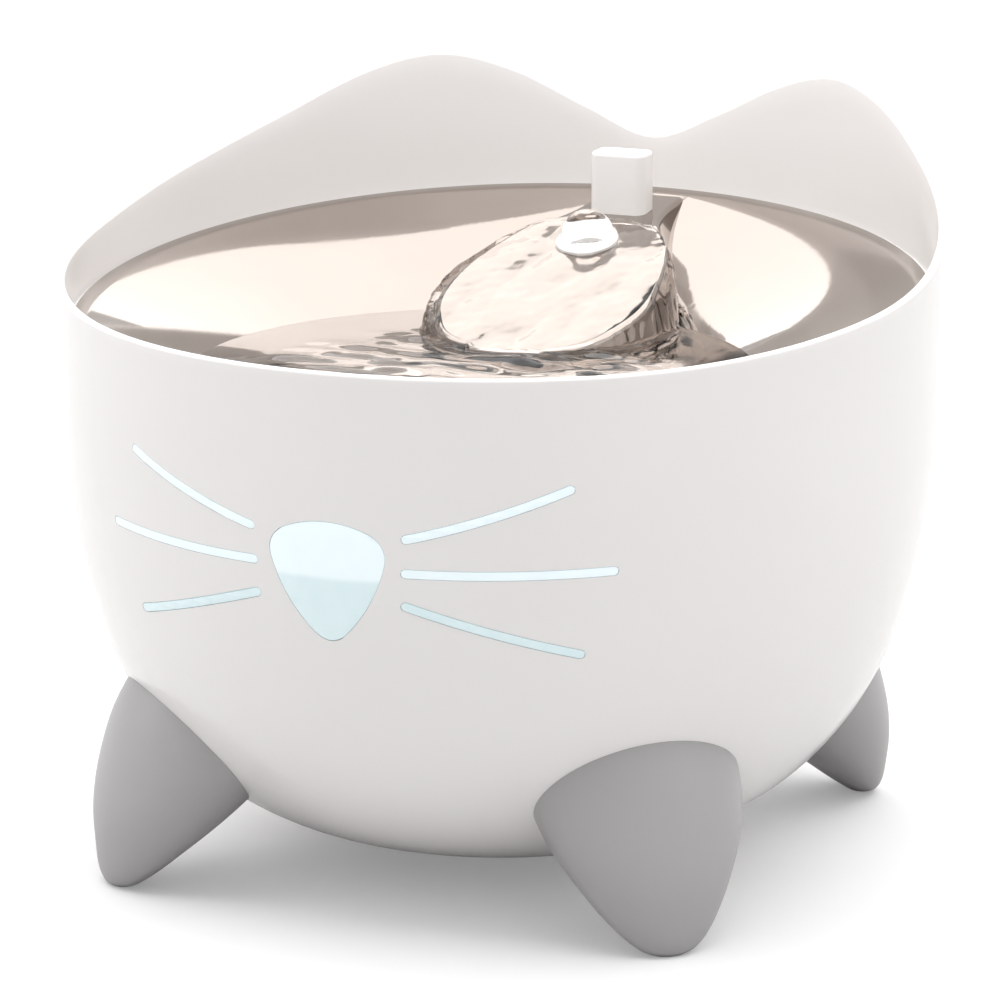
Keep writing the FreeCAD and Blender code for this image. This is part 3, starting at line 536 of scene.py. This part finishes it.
bm = turned(bowl_profile(), steps=288)
for vert in bm.verts:
    x, y, z = vert.co / MM
    if z > WIDEST_Z + 0.01:
        top = rim_height(x, y)
        if z > RIM_TOP - LIP - 0.01:
            z = top - (RIM_TOP - z)
        else:
            z = WIDEST_Z + (z - WIDEST_Z) * (top - LIP - WIDEST_Z) / (RIM_TOP - LIP - WIDEST_Z)
        lean = EAR_LEAN * (z - WIDEST_Z) / 63.0
        radius = math.hypot(x, y)
        vert.co = Vector((x * (radius + lean) / radius, y * (radius + lean) / radius, z)) * MM
bowl = settle(bm, "bowl_moulding")
print("bowl", len(bowl.data.polygons))

# %% [markdown]
# ## The face
# The nose and the whiskers are openings in the wall that are filled by one clear moulding. An
# outline is drawn once in the plane in front of the wall: it is used slightly larger as the
# cutter for the opening, and at its own size for the window, whose front is moved onto the
# belly curve so that it stands a hair proud of the wall.

# %% Outlines of the nose and the whiskers
WHISKER_WIDTH = 2.7


def arc(a, m, b, count):
    """Points on the circle through three points."""
    d = 2 * (a[0] * (m[1] - b[1]) + m[0] * (b[1] - a[1]) + b[0] * (a[1] - m[1]))
    s = [p[0] ** 2 + p[1] ** 2 for p in (a, m, b)]
    cx = (s[0] * (m[1] - b[1]) + s[1] * (b[1] - a[1]) + s[2] * (a[1] - m[1])) / d
    cy = (s[0] * (b[0] - m[0]) + s[1] * (a[0] - b[0]) + s[2] * (m[0] - a[0])) / d
    radius = math.dist((cx, cy), a)
    start, mid, end = [math.atan2(p[1] - cy, p[0] - cx) for p in (a, m, b)]
    sweep = (end - start) % (2 * math.pi)
    if (mid - start) % (2 * math.pi) > sweep:
        return arc(b, m, a, count)[::-1]
    turns = [start + sweep * k / count for k in range(count + 1)]
    return [(cx + radius * math.cos(turn), cy + radius * math.sin(turn)) for turn in turns]


def rounded(sides, reaches):
    """A closed outline from curved sides, with the corner after each side rounded."""
    outline = []
    later, earlier = sides[1:] + sides[:1], reaches[-1:] + reaches[:-1]
    for side, after, reach, last_reach in zip(sides, later, reaches, earlier):
        corner = side[-1]
        outline += [p for p in side if math.dist(p, corner) > reach and math.dist(p, side[0]) > last_reach]
        into = min(side, key=lambda p: abs(math.dist(p, corner) - reach))
        away = min(after, key=lambda p: abs(math.dist(p, corner) - reach))
        for k in range(9):
            t = k / 8
            outline.append(tuple((1 - t) ** 2 * i + 2 * t * (1 - t) * c + t * t * o
                                 for i, c, o in zip(into, corner, away)))
    return outline


def nose_outline(shrink):
    half, top, shoulder, tip = 17.2 - shrink, 120.0 - shrink, 114.5 - shrink, 87.6 + shrink * 1.6
    left, right, low = (-half, shoulder), (half, shoulder), (0.0, tip - 2.4)
    side = (half * 0.68, (shoulder + tip) / 2 - 2.6)
    other_side = (-side[0], side[1])
    sides = [arc(left, (0.0, top), right, 40), arc(right, side, low, 40), arc(low, other_side, left, 40)]
    return rounded(sides, (5.2, 5.4, 5.2))


def whisker_outline(whisker, side, shrink):
    middle = (whisker[0][0] + whisker[2][0]) / 2
    a, m, b = [((BOWL_RADIUS - 2) * math.sin(math.radians(t - middle)) * side, z) for t, z in whisker]
    line = arc(a, m, b, 24)
    half = WHISKER_WIDTH / 2 - shrink
    tops, lows = [], []
    for k, p in enumerate(line):
        before, after = line[max(k - 1, 0)], line[min(k + 1, len(line) - 1)]
        turn = math.atan2(after[1] - before[1], after[0] - before[0])
        tops.append((p[0] - half * math.sin(turn), p[1] + half * math.cos(turn)))
        lows.append((p[0] + half * math.sin(turn), p[1] - half * math.cos(turn)))
    ends = []
    for p, q in ((line[-1], line[-2]), (line[0], line[1])):
        turn = math.atan2(p[1] - q[1], p[0] - q[0])
        ends.append([(p[0] + half * math.cos(turn + math.pi / 2 - math.pi * k / 8),
                      p[1] + half * math.sin(turn + math.pi / 2 - math.pi * k / 8)) for k in range(1, 8)])
    return tops + ends[0] + lows[::-1] + ends[1]


# %% [markdown]
# A whisker is given by three places on the wall, each as an angle from the nose and a height.
# The right ones are written down, and the left ones are the same with the side turned round.

# %% Every window as (outline maker, turn about the Z axis)
WHISKERS = (((10.3, 116.6), (20.0, 122.4), (30.5, 130.2)),
            ((10.2, 107.3), (22.0, 107.3), (36.0, 107.9)),
            ((10.2, 98.2), (20.5, 91.6), (31.8, 85.1)))
windows = [(nose_outline, 0.0)]
for side in (1, -1):
    for whisker in WHISKERS:
        middle = (whisker[0][0] + whisker[2][0]) / 2 * side
        windows.append((lambda shrink, w=whisker, s=side: whisker_outline(w, s, shrink), middle))


def prism(outline, front, back, turn):
    """An outline run through the wall along +Y, turned about the Z axis."""
    bm = bmesh.new()
    face = bm.faces.new([bm.verts.new((x * MM, front * MM, z * MM)) for x, z in outline])
    out = bmesh.ops.extrude_face_region(bm, geom=[face])
    moved = [v for v in out["geom"] if isinstance(v, bmesh.types.BMVert)]
    bmesh.ops.translate(bm, verts=moved, vec=(0, (back - front) * MM, 0))
    turn_about_z(bm, turn)
    return bm


# %% Cut the openings
for outline, turn in windows:
    tool = settle(prism(outline(0.0), -BOWL_RADIUS - 4, -BOWL_RADIUS + 20, turn), "opening")
    carve(bowl, tool)
PORT_Z = 146
port = bmesh.new()
bmesh.ops.create_cone(port, cap_ends=True, segments=48, radius1=5.5 * MM, radius2=5.5 * MM, depth=20 * MM,
                      matrix=Matrix.Translation(scaled((0, BOWL_RADIUS, PORT_Z)))
                      @ Matrix.Rotation(math.pi / 2, 4, "X"))
carve(bowl, settle(port, "port"))
smooth_again(bowl, 30)
print("bowl after the openings", len(bowl.data.polygons))

# %% [markdown]
# Inside the wall runs the ledge that carries the tray. It lies in the tray's own plane, which
# drops towards the front, so it is turned level and then tilted.

# %% The ledge
TRAY_RISE = 0.1
TILT = math.atan(TRAY_RISE)
TRAY_MID_Z = 154.4
DISH_EDGE = 115.8
SHEET = 0.8
tray_place = Matrix.Translation((0, 0, TRAY_MID_Z * MM)) @ Matrix.Rotation(TILT, 4, "X")
ledge = turned([(DISH_EDGE, -SHEET), (121.4, -SHEET), (121.4, -9.0), (120.6, -7.5), (DISH_EDGE, -3.3)])
bmesh.ops.transform(ledge, matrix=tray_place, verts=ledge.verts)
for vert in ledge.verts:
    reach = math.hypot(vert.co.x, vert.co.y)
    limit = (BOWL_RADIUS - 1.2) * MM
    if reach > limit:
        vert.co.x *= limit / reach
        vert.co.y *= limit / reach
carve(bowl, settle(ledge, "ledge"), "UNION")
smooth_again(bowl, 30)
finished(bowl, "bowl", "white_plastic", ["bowl_shell"])

# %% [markdown]
# A window's front has to lie on the curved wall. Its flat outline is cut into narrow cells
# with planes, its edge gets a narrow border, and then every front corner is moved straight
# back until it meets the belly curve. The border lies a little lower, as a small bevel.

# %% The clear windows
def on_belly(x, z, proud):
    """The Y of the belly, in millimetres, at a place of an outline in front of it."""
    radius = wall_radius(z) + proud
    return -math.sqrt(max(radius ** 2 - x ** 2, 0.0))


def window(outline, turn):
    bm = bmesh.new()
    bm.faces.new([bm.verts.new((x * MM, 0, z * MM)) for x, z in outline])
    bmesh.ops.inset_region(bm, faces=bm.faces[:], thickness=0.35 * MM, depth=0, use_even_offset=True)
    cell = 2.0
    across, upwards = Vector((1, 0, 0)), Vector((0, 0, 1))
    for normal, places in ((across, [x for x, z in outline]), (upwards, [z for x, z in outline])):
        low, high = min(places), max(places)
        for k in range(1, int((high - low) / cell)):
            bmesh.ops.bisect_plane(bm, geom=bm.verts[:] + bm.edges[:] + bm.faces[:], dist=1e-7,
                                   plane_co=normal * (low + cell * k) * MM, plane_no=normal)
    rim = {v for e in bm.edges if len(e.link_faces) == 1 for v in e.verts}
    for vert in bm.verts:
        x, z = vert.co.x / MM, vert.co.z / MM
        vert.co.y = on_belly(x, z, 0.22 if vert not in rim else -0.08) * MM
    sides = bmesh.ops.extrude_edge_only(bm, edges=[e for e in bm.edges if len(e.link_faces) == 1])
    back = [v for v in sides["geom"] if isinstance(v, bmesh.types.BMVert)]
    for vert in back:
        vert.co.y = on_belly(vert.co.x / MM, vert.co.z / MM, -3.6) * MM
    bmesh.ops.contextual_create(bm, geom=[e for e in bm.edges if len(e.link_faces) == 1])
    turn_about_z(bm, turn)
    return bm


moulding = bmesh.new()
for outline, turn in windows:
    absorb(moulding, window(outline(0.2), turn))

# %% [markdown]
# Behind the wall the seven windows share one curved panel. It is a strip of a turned layer:
# the profile is spun only through the angle that the face covers.

# %% The panel behind the windows
PANEL_Z = (80.5, 132.5)
PANEL_DEPTH = (2.9, 4.6)
PANEL_SPREAD = 84
heights = [PANEL_Z[0] + (PANEL_Z[1] - PANEL_Z[0]) * k / 12 for k in range(13)]
outer = [(wall_radius(z) - PANEL_DEPTH[0], z) for z in heights]
inner = [(wall_radius(z) - PANEL_DEPTH[1], z) for z in reversed(heights)]
strip = bmesh.new()
ring = [strip.verts.new((r * MM, 0, z * MM)) for r, z in outer + inner]
face = strip.faces.new(ring)
turn_about_z(strip, -90 - PANEL_SPREAD / 2)
bmesh.ops.spin(strip, geom=[face] + list(face.edges) + list(face.verts), cent=(0, 0, 0), axis=(0, 0, 1),
               angle=math.radians(PANEL_SPREAD), steps=48, use_merge=False, use_duplicate=False)
absorb(moulding, strip)
finished(settle(moulding, "face_windows", 28), "bowl", "clear_blue", ["face_window"])

# %% [markdown]
# ## The feet
# Each foot is a horn: its sections are ellipses that shrink and move outwards towards the
# floor. Rings are made from the table of sections and bridged, and then the foot is cut by the
# bowl's own outside, so that it meets the belly in one clean line.

# %% Horn feet, each row as (height, reach from the axis, half width, half depth)
FOOT = ((0.0, 113.8, 4.5, 3.2), (1.2, 113.5, 7.6, 4.8), (4.5, 111.6, 11.8, 7.8), (10.5, 107.8, 16.9, 12.0),
        (19.0, 102.2, 22.4, 17.9), (28.0, 96.6, 27.0, 22.4), (38.0, 91.5, 29.4, 25.0),
        (48.0, 87.3, 28.9, 25.7), (60.0, 81.0, 27.0, 25.0))
FOOT_TOP = 60.0
FOOT_RINGS = 30


def horn(angle):
    bm = bmesh.new()
    for number in range(FOOT_RINGS + 1):
        z = FOOT_TOP * (number / FOOT_RINGS) ** 1.7
        reach, half_side, half_out = eased(FOOT, z)
        place = (Matrix.Translation((0, -reach * MM, z * MM))
                 @ Matrix.Diagonal((half_side * MM, half_out * MM, 1, 1)))
        ring = bmesh.ops.create_circle(bm, cap_ends=number in (0, FOOT_RINGS), segments=72, radius=1.0,
                                       matrix=place)
        edges = unique(e for v in ring["verts"] for e in v.link_edges)
        if number:
            bmesh.ops.bridge_loops(bm, edges=edges + before)
        before = edges
    turn_about_z(bm, angle)
    return bm


grown = [(0.0, BASE_Z - 0.05)] + belly_line(-0.05, 40) + [(BOWL_RADIUS, 160.0), (0.0, 160.0)]
belly_tool = settle(turned(grown, steps=288), "belly_tool")
for name, angle in (("foot_front_left", -45), ("foot_front_right", 45), ("foot_rear_left", -135),
                    ("foot_rear_right", 135)):
    foot = carve(settle(horn(angle), name + "_horn", 40), belly_tool, keep_tool=True)
    finished(smooth_again(foot, 40), "bowl", "grey_plastic", [name])
bpy.data.objects.remove(belly_tool)

# %% [markdown]
# ## The steel tray
# The tray is one pressed sheet: a flange, a cone, a round bottom, and the ramp pressed up in
# it. Both faces of the sheet are made as solids, the space below the upper face and the space
# below the lower one, and the sheet is the difference of the two. That keeps its thickness
# everywhere, also in the ramp.

# %% Space under a dish
DISH_SLOPE = 0.36
DISH_DEPTH = 22.6
DISH_LIP = 1.6
RAMP_SLOPE = 0.19
RAMP_DIP = 0.5
FOLD_Y = 78.6
FOLD_BEND = 5.0
RAMP = ((12.5, 112.0), (12.5, 98.0), (15.5, 84.0), (23.5, 66.0), (28.0, 43.0), (26.0, 25.0), (17.0, 9.5))


def dish(drop):
    """The body under the dish's face, lowered by the sheet's thickness."""
    slope = math.atan(DISH_SLOPE)
    shift = (drop / math.cos(slope) - drop) / DISH_SLOPE
    corner = DISH_EDGE - DISH_DEPTH / DISH_SLOPE - shift
    radius = 60.0 + drop
    reach = radius * math.tan(slope / 2)
    floor = -DISH_DEPTH - drop
    turns = [slope * k / 12 for k in range(13)]
    bend = [(corner - reach + radius * math.sin(turn), floor + radius * (1 - math.cos(turn)))
            for turn in turns]
    soft = DISH_LIP
    edge = DISH_EDGE - shift
    lip = [(edge - soft * math.cos(slope), -drop - soft * math.sin(slope)),
           (edge - 0.55 * soft, -drop - 0.16 * soft), (edge + 0.1 * soft, -drop - 0.02 * soft),
           (edge + soft, -drop)]
    flange = [(119.2, -drop), (119.2, -60), (0, -60)]
    return turned([(0, floor), (30, floor)] + bend + lip + flange, steps=256)


def ramp_top(y):
    """Height of the ramp in the tray's frame: a slope that eases into a level end."""
    if y > FOLD_Y + FOLD_BEND:
        return -RAMP_DIP
    if y < FOLD_Y - FOLD_BEND:
        return -RAMP_DIP - RAMP_SLOPE * (FOLD_Y - y)
    return -RAMP_DIP - RAMP_SLOPE * (FOLD_Y + FOLD_BEND - y) ** 2 / (4 * FOLD_BEND)


def both_sides(points, front):
    """The outline through the points on the right, the front, and the same points on the left."""
    left = [(-x, y) for x, y in reversed(points)]
    return spline(list(points) + [(0.0, front)] + left, per=9)


# %% [markdown]
# The ramp starts as its outline at the foot. Rings follow each other up the drafted side and
# round the edge, and the last one is closed and cut both ways into cells that follow the
# slope. Strips from side to side would do for the shape, but a mirror would show their
# shading as dark wedges, because the normals at their ends belong to the rounded edge too.

# %% Body of a ramp
DRAFT_FROM = 6.0
NARROW = 6.0


def ramp_body(points, front, draft, top, soft, drop=0.0, deep=26.0):
    """A raised body with a drafted side, whose upper edge is rounded by `soft` millimetres."""
    bm = bmesh.new()
    levels = [(deep, 0.0), (deep * 0.5, 0.0), (soft, 0.0)]
    levels += [(soft * (1 - math.sin(a)), soft * (1 - math.cos(a))) for a in
               [math.pi / 2 * k / 6 for k in range(1, 7)]]
    before = None
    for down, inset in levels:
        ring = []
        for x, y in both_sides(points, front):
            here = top(y) - drop - down
            grow = (DRAFT_FROM - here) * draft - 1.0 - drop - inset
            side = 0.0 if abs(x) < 1e-6 else math.copysign(1.0, x)
            ahead = 1.0 if abs(x) < NARROW else 0.5
            ring.append((x + side * grow * min(abs(x) / NARROW, 1.0), y - grow * ahead, here))
        loop = [bm.verts.new(Vector(p) * MM) for p in ring]
        edges = [bm.edges.new((a, b)) for a, b in zip(loop, loop[1:] + loop[:1])]
        if before:
            bmesh.ops.bridge_loops(bm, edges=edges + before)
        else:
            bm.faces.new(loop)
        before = edges
    cells = [bm.faces.new(loop)]
    cuts = [((0, 2.0 * k, 0), (0, 1, 0)) for k in range(1, 56)]
    cuts += [((x, 0, 0), (1, 0, 0)) for x in (-27, -25, -22, -18, -12, -6, 0, 6, 12, 18, 22, 25, 27)]
    for spot, across in cuts:
        around = unique(e for f in cells for e in f.edges) + unique(v for f in cells for v in f.verts)
        cut = bmesh.ops.bisect_plane(bm, geom=cells + around, dist=1e-7,
                                     plane_co=Vector(spot) * MM, plane_no=across)
        cells = [f for f in cut["geom"] if isinstance(f, bmesh.types.BMFace)]
    for face in cells:
        for vert in face.verts:
            vert.co.z = (top(vert.co.y / MM) - drop) * MM
    return bm


def under_tray(drop, name):
    body = settle(dish(drop), name)
    carve(body, settle(ramp_body(RAMP, 3.5, 0.25, ramp_top, 1.4, drop), name + "_ramp"), "UNION")
    return body


# %% Press the sheet
DRAIN_SLOTS = 7
tray = under_tray(0.0, "steel_tray")
steel_space = under_tray(SHEET / 2, "sheet_middle")
carve(tray, under_tray(SHEET, "tray_lower"))
holes = bmesh.new()
for number in range(DRAIN_SLOTS):
    turn = Matrix.Rotation(math.radians((number - DRAIN_SLOTS // 2) * 7.0), 4, "Z")
    hole = add_box(holes, (0, -114.6, -5), (9, 3, 19), turn)
    round_edges(holes, upright_edges(unique(e for v in hole["verts"] for e in v.link_edges)), 1.45, 6)
carve(tray, settle(holes, "drain_slots"))
for piece in (tray, steel_space):
    piece.data.transform(tray_place)
print("tray", len(tray.data.polygons))

# %% Holes for the nozzle and the grip block
NOZZLE_Y = 66.7
GRIP_Y = 95
fitting_holes = bmesh.new()
bmesh.ops.create_cone(fitting_holes, cap_ends=True, segments=48, radius1=5.8 * MM, radius2=5.8 * MM,
                      depth=24 * MM, matrix=Matrix.Translation(scaled((0, NOZZLE_Y, 156))))
add_box(fitting_holes, (0, GRIP_Y, 163), (8.4, 5.4, 18))
carve(tray, settle(fitting_holes, "fitting_holes"))
finished(smooth_again(tray, 25), "tray", "polished_steel", ["drinking_tray"])

# %% [markdown]
# ## Nozzle and grip block
# The nozzle is a small cupped ring that sits square on the slope. The block behind it is the
# handle for lifting the tray, so its edges are well rounded for a finger.

# %% Nozzle ring
slope_angle = TILT + math.atan(RAMP_SLOPE)
nozzle_seat = TRAY_MID_Z + TRAY_RISE * NOZZLE_Y - RAMP_DIP - RAMP_SLOPE * (FOLD_Y - NOZZLE_Y)
profile = [(4.2, -1.0), (4.2, 0.42), (7.5, 1.62), (8.0, 1.7), (8.55, 1.7), (8.82, 1.62), (9.02, 1.42),
           (9.1, 1.15), (9.1, 0.02), (5.45, 0.02), (5.45, -1.0)]
ring = turned(profile, steps=96)
bmesh.ops.transform(ring, verts=ring.verts, matrix=Matrix.Translation(scaled((0, NOZZLE_Y, nozzle_seat)))
                    @ Matrix.Rotation(slope_angle, 4, "X"))
spigot = turned([(4.2, -15.0), (4.2, -0.9), (5.5, -0.9), (5.5, -14.4), (5.0, -15.0)], steps=96)
bmesh.ops.translate(spigot, verts=spigot.verts, vec=scaled((0, NOZZLE_Y, nozzle_seat)))
absorb(ring, spigot)
finished(settle(ring, "nozzle_cup", 34, recalc=False), "tray", "white_plastic", ["nozzle_ring"])

# %% Grip block
GRIP_SIZE = (17, 11, 17.6)
grip_base = TRAY_MID_Z + TRAY_RISE * GRIP_Y - RAMP_DIP
block = bmesh.new()
add_box(block, (0, GRIP_Y, grip_base + GRIP_SIZE[2] / 2), GRIP_SIZE)
for vert in block.verts:
    if vert.co.z < (grip_base + 2) * MM:
        vert.co.z = (grip_base + 0.03) * MM + TRAY_RISE * (vert.co.y - GRIP_Y * MM)
round_edges(block, upright_edges(block.edges), 3.2, 8)
top = max(v.co.z for v in block.verts)
round_edges(block, [e for e in block.edges if all(abs(v.co.z - top) < 1e-6 for v in e.verts)], 1.3, 5)
add_box(block, (0, GRIP_Y, grip_base - 3.2), (8, 5, 7.4))
finished(settle(block, "lifting_block", 34), "tray", "white_plastic", ["grip_block"])

# %% [markdown]
# ## The water
# The pool is what the dish holds below one level height. The film that runs down the ramp is a
# ramp body that is a little larger than the steel one, and the dome is a drop above the nozzle.
# The three are joined by a voxel remesh, which also gives the soft fillets that water has
# where its streams meet, and then the surface is pushed about by noise.

# %% Raw water
WATER_Z = 139.6
FILM_DEPTH = 2.0
FILM = ((11.0, 80.0), (18.5, 76.0), (25.5, 66.0), (31.0, 52.0), (33.0, 40.0), (31.0, 22.0), (21.5, 5.0))


def film_top(y):
    return ramp_top(y) + FILM_DEPTH


film = settle(ramp_body(FILM, -4.0, 0.12, film_top, 2.6, deep=16.0), "water")
film.data.transform(tray_place)
pool = turned([(0.0, 120.0), (112.0, 120.0), (112.0, WATER_Z), (0.0, WATER_Z)], steps=160)
carve(film, settle(pool, "pool"), "UNION")
drop_shape = bmesh.new()
bmesh.ops.create_uvsphere(drop_shape, u_segments=48, v_segments=32, radius=1.0,
                          matrix=Matrix.Translation(scaled((0, NOZZLE_Y + 0.2, nozzle_seat + 3.4)))
                          @ Matrix.Diagonal((*scaled((7.6, 7.6, 6.8)), 1)))
carve(film, settle(drop_shape, "dome"), "UNION")
carve(film, steel_space)
print("raw water", len(film.data.polygons))

# %% [markdown]
# Three kinds of noise stir it. The chop is broad and lies in the pool in front of the ramp,
# the run is drawn out along the slope, and the scallops frill the film's steep sides. The
# film stays calm round the dome.

# %% Join and stir the water
def wavy(x, y, along_x, along_y, layer):
    return noise.noise(Vector((x * along_x, y * along_y, layer)))


def stirred(x, y, z, up):
    """How far the water's surface moves outwards at a place, in millimetres."""
    if z < WATER_Z + 0.9:
        chop = (1 - step_between(44.0, 64.0, math.hypot(x, y + 28.0))) * step_between(0.05, 0.6, up)
        wave = wavy(x, y, 0.055, 0.13, 3.1) + 0.2 * wavy(x, y, 0.15, 0.26, 8.0)
        return chop * (0.9 + 1.4 * wave)
    if z > WATER_Z + 0.9 and y < 82:
        run = wavy(x, y, 0.15, 0.075, 1.7) + 0.3 * wavy(x, y, 0.36, 0.2, 5.2)
        scallop = (1 - abs(up)) * wavy(x, y, 0.25, 0.42, 2.6)
        return (0.62 * run + 1.1 * scallop) * step_between(8.5, 12.0, math.hypot(x, y - 66.0))
    return 0.0


revoxel(film, 0.9)
bm = bmesh.new()
bm.from_mesh(film.data)
relax(bm, [v for v in bm.verts if v.co.z > (WATER_Z + 0.2) * MM])
bm.normal_update()
moves = []
for vert in bm.verts:
    if vert.normal.z >= -0.05:
        moves.append((vert, vert.normal * stirred(*(vert.co / MM), vert.normal.z) * MM))
for vert, move in moves:
    vert.co += move
bm.to_mesh(film.data)
bm.free()
finished(smooth_again(film, 80), "tray", "clear_blue", material=water_finish)

# %% [markdown]
# ## Filter and grommet
# The foam and the pouch fill the cartridge. Each starts as a copy of the space that the model
# gives it, is rebuilt with small even faces, and is then shaped: the foam gets softened edges,
# the pouch swells between its seams.

# %% Soft pieces of the cartridge
CARTRIDGE_Y = 38.0
CARTRIDGE_RADIUS = 35.0


def soft_copy(node, name, voxel, crown):
    """A copy of a node, thinned by the share `crown` at its rim and beside the riser's slot."""
    piece = frame["nodes"][node].copy()
    piece.data = piece.data.copy()
    piece.name = name
    piece.matrix_world = Matrix.Identity(4)
    bpy.context.scene.collection.objects.link(piece)
    revoxel(piece, voxel)
    low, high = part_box(node)
    middle = (low[2] + high[2]) / 2
    bm = bmesh.new()
    bm.from_mesh(piece.data)
    for _ in range(3):
        relax(bm, bm.verts)
    for vert in bm.verts:
        x, y = vert.co.x / MM, vert.co.y / MM - CARTRIDGE_Y
        edge = step_between(0.0, 12.0, CARTRIDGE_RADIUS - math.hypot(x, y))
        slot = step_between(9.5, 17.0, abs(x) if y > 28.0 else math.hypot(x, y - 28.7))
        full = min(edge, slot)
        vert.co.z = middle + (vert.co.z - middle) * (1 - crown * (1 - full))
    bm.to_mesh(piece.data)
    bm.free()
    return smooth_again(piece, 60)


foam = finished(soft_copy("foam_pad", "foam_disc", 1.2, 0.08), "cartridge", "foam", ["foam_pad"])
pouch = finished(soft_copy("carbon_pouch", "granule_pouch", 1.0, 0.55), "cartridge", "pouch_cloth",
                 ["carbon_pouch"])

# %% Rubber grommet
inside, outside = 119.4, 122.8
profile = [(2.1, inside - 2.0), (7.0, inside - 2.0), (7.6, inside - 1.8), (7.9, inside - 1.2), (7.9, inside),
           (5.4, inside), (5.4, outside), (7.9, outside), (7.9, outside + 0.8), (7.5, outside + 1.4),
           (6.6, outside + 1.9), (2.4, outside + 2.0), (2.1, outside + 1.7)]
grommet = turned(profile, steps=64)
bmesh.ops.transform(grommet, verts=grommet.verts, matrix=Matrix.Translation((0, 0, PORT_Z * MM))
                    @ Matrix.Rotation(-math.pi / 2, 4, "X"))
finished(settle(grommet, "port_grommet", 34), "bowl", "rubber", ["cord_grommet"])

# %% [markdown]
# ## Floor, light and camera
# The object stands in a plain white studio. The floor is pale and matt, and shows as pure
# white to the camera except where the object's shadow falls. A large soft lamp hangs above
# and behind, two smaller ones stand at the sides, and a small one over the dish lights the
# insides of the ears. The world is white to the camera and in reflections, and dimmer as light.

# %% Floor
def studio_floor():
    made = Finish("studio_floor", Base_Color=(0.70, 0.70, 0.70, 1.0), Emission_Color=(1.0, 1.0, 1.0, 1.0),
                  Specular_IOR_Level=0.1)
    to_camera = made.node("LightPath", output="Is Camera Ray")
    return made.feed(Roughness=0.85 + 0.1 * made.grain(30.0), Emission_Strength=0.22 * to_camera).material


bm = bmesh.new()
bmesh.ops.create_grid(bm, x_segments=1, y_segments=1, size=6.0)
floor = settle(bm, "studio_floor")
floor.data.materials.append(studio_floor())

# %% Lamps
def lamp(name, place, towards, width, height, radiance):
    light = bpy.data.lights.new(name, "AREA")
    light.shape = "RECTANGLE"
    light.size = width
    light.size_y = height
    light.energy = radiance * math.pi * width * height
    holder = bpy.data.objects.new(name, light)
    aim = (Vector(towards) - Vector(place)).to_track_quat("-Z", "Y")
    holder.matrix_world = Matrix.Translation(place) @ aim.to_matrix().to_4x4()
    holder.visible_camera = False
    bpy.context.scene.collection.objects.link(holder)


lamp("top_lamp", (-0.2, 0.7, 1.7), (-0.1, 0.2, 0.1), 4.0, 3.4, 1.8)
lamp("left_lamp", (-1.5, -0.5, 1.0), (0, 0, 0.1), 0.8, 0.8, 1.5)
lamp("right_lamp", (1.6, 0.0, 0.7), (0, 0, 0.1), 0.8, 1.2, 0.4)
lamp("ear_lamp", (0.0, -0.12, 0.46), (0, 0.11, 0.18), 0.5, 0.3, 1.6)

# %% World
world = bpy.data.worlds.new("studio")
bpy.context.scene.world = world
world.use_nodes = True
tree = world.node_tree
background = tree.nodes["Background"]
path = tree.nodes.new("ShaderNodeLightPath")
seen = path.outputs["Is Camera Ray"]
for kind in ("Is Glossy Ray", "Is Transmission Ray"):
    either = tree.nodes.new("ShaderNodeMath")
    either.operation = "MAXIMUM"
    tree.links.new(seen, either.inputs[0])
    tree.links.new(path.outputs[kind], either.inputs[1])
    seen = either.outputs[0]
level = tree.nodes.new("ShaderNodeMapRange")
level.inputs["To Min"].default_value = 0.55
level.inputs["To Max"].default_value = 1.0
tree.links.new(seen, level.inputs[0])
tree.links.new(level.outputs[0], background.inputs["Strength"])
background.inputs["Color"].default_value = (1.0, 1.0, 1.0, 1.0)

# %% Camera
camera = bpy.data.objects.new("camera", bpy.data.cameras.new("camera"))
camera.data.lens = 189.03
camera.data.sensor_width = 36.0
camera.data.clip_end = 50.0
forward = Vector((-0.3631, 0.9000, -0.2411))
camera.matrix_world = (Matrix.Translation((0.5334, -1.3226, 0.4519))
                       @ forward.to_track_quat("-Z", "Y").to_matrix().to_4x4())
bpy.context.scene.collection.objects.link(camera)
bpy.context.scene.camera = camera
bpy.context.scene.view_settings.view_transform = "Standard"
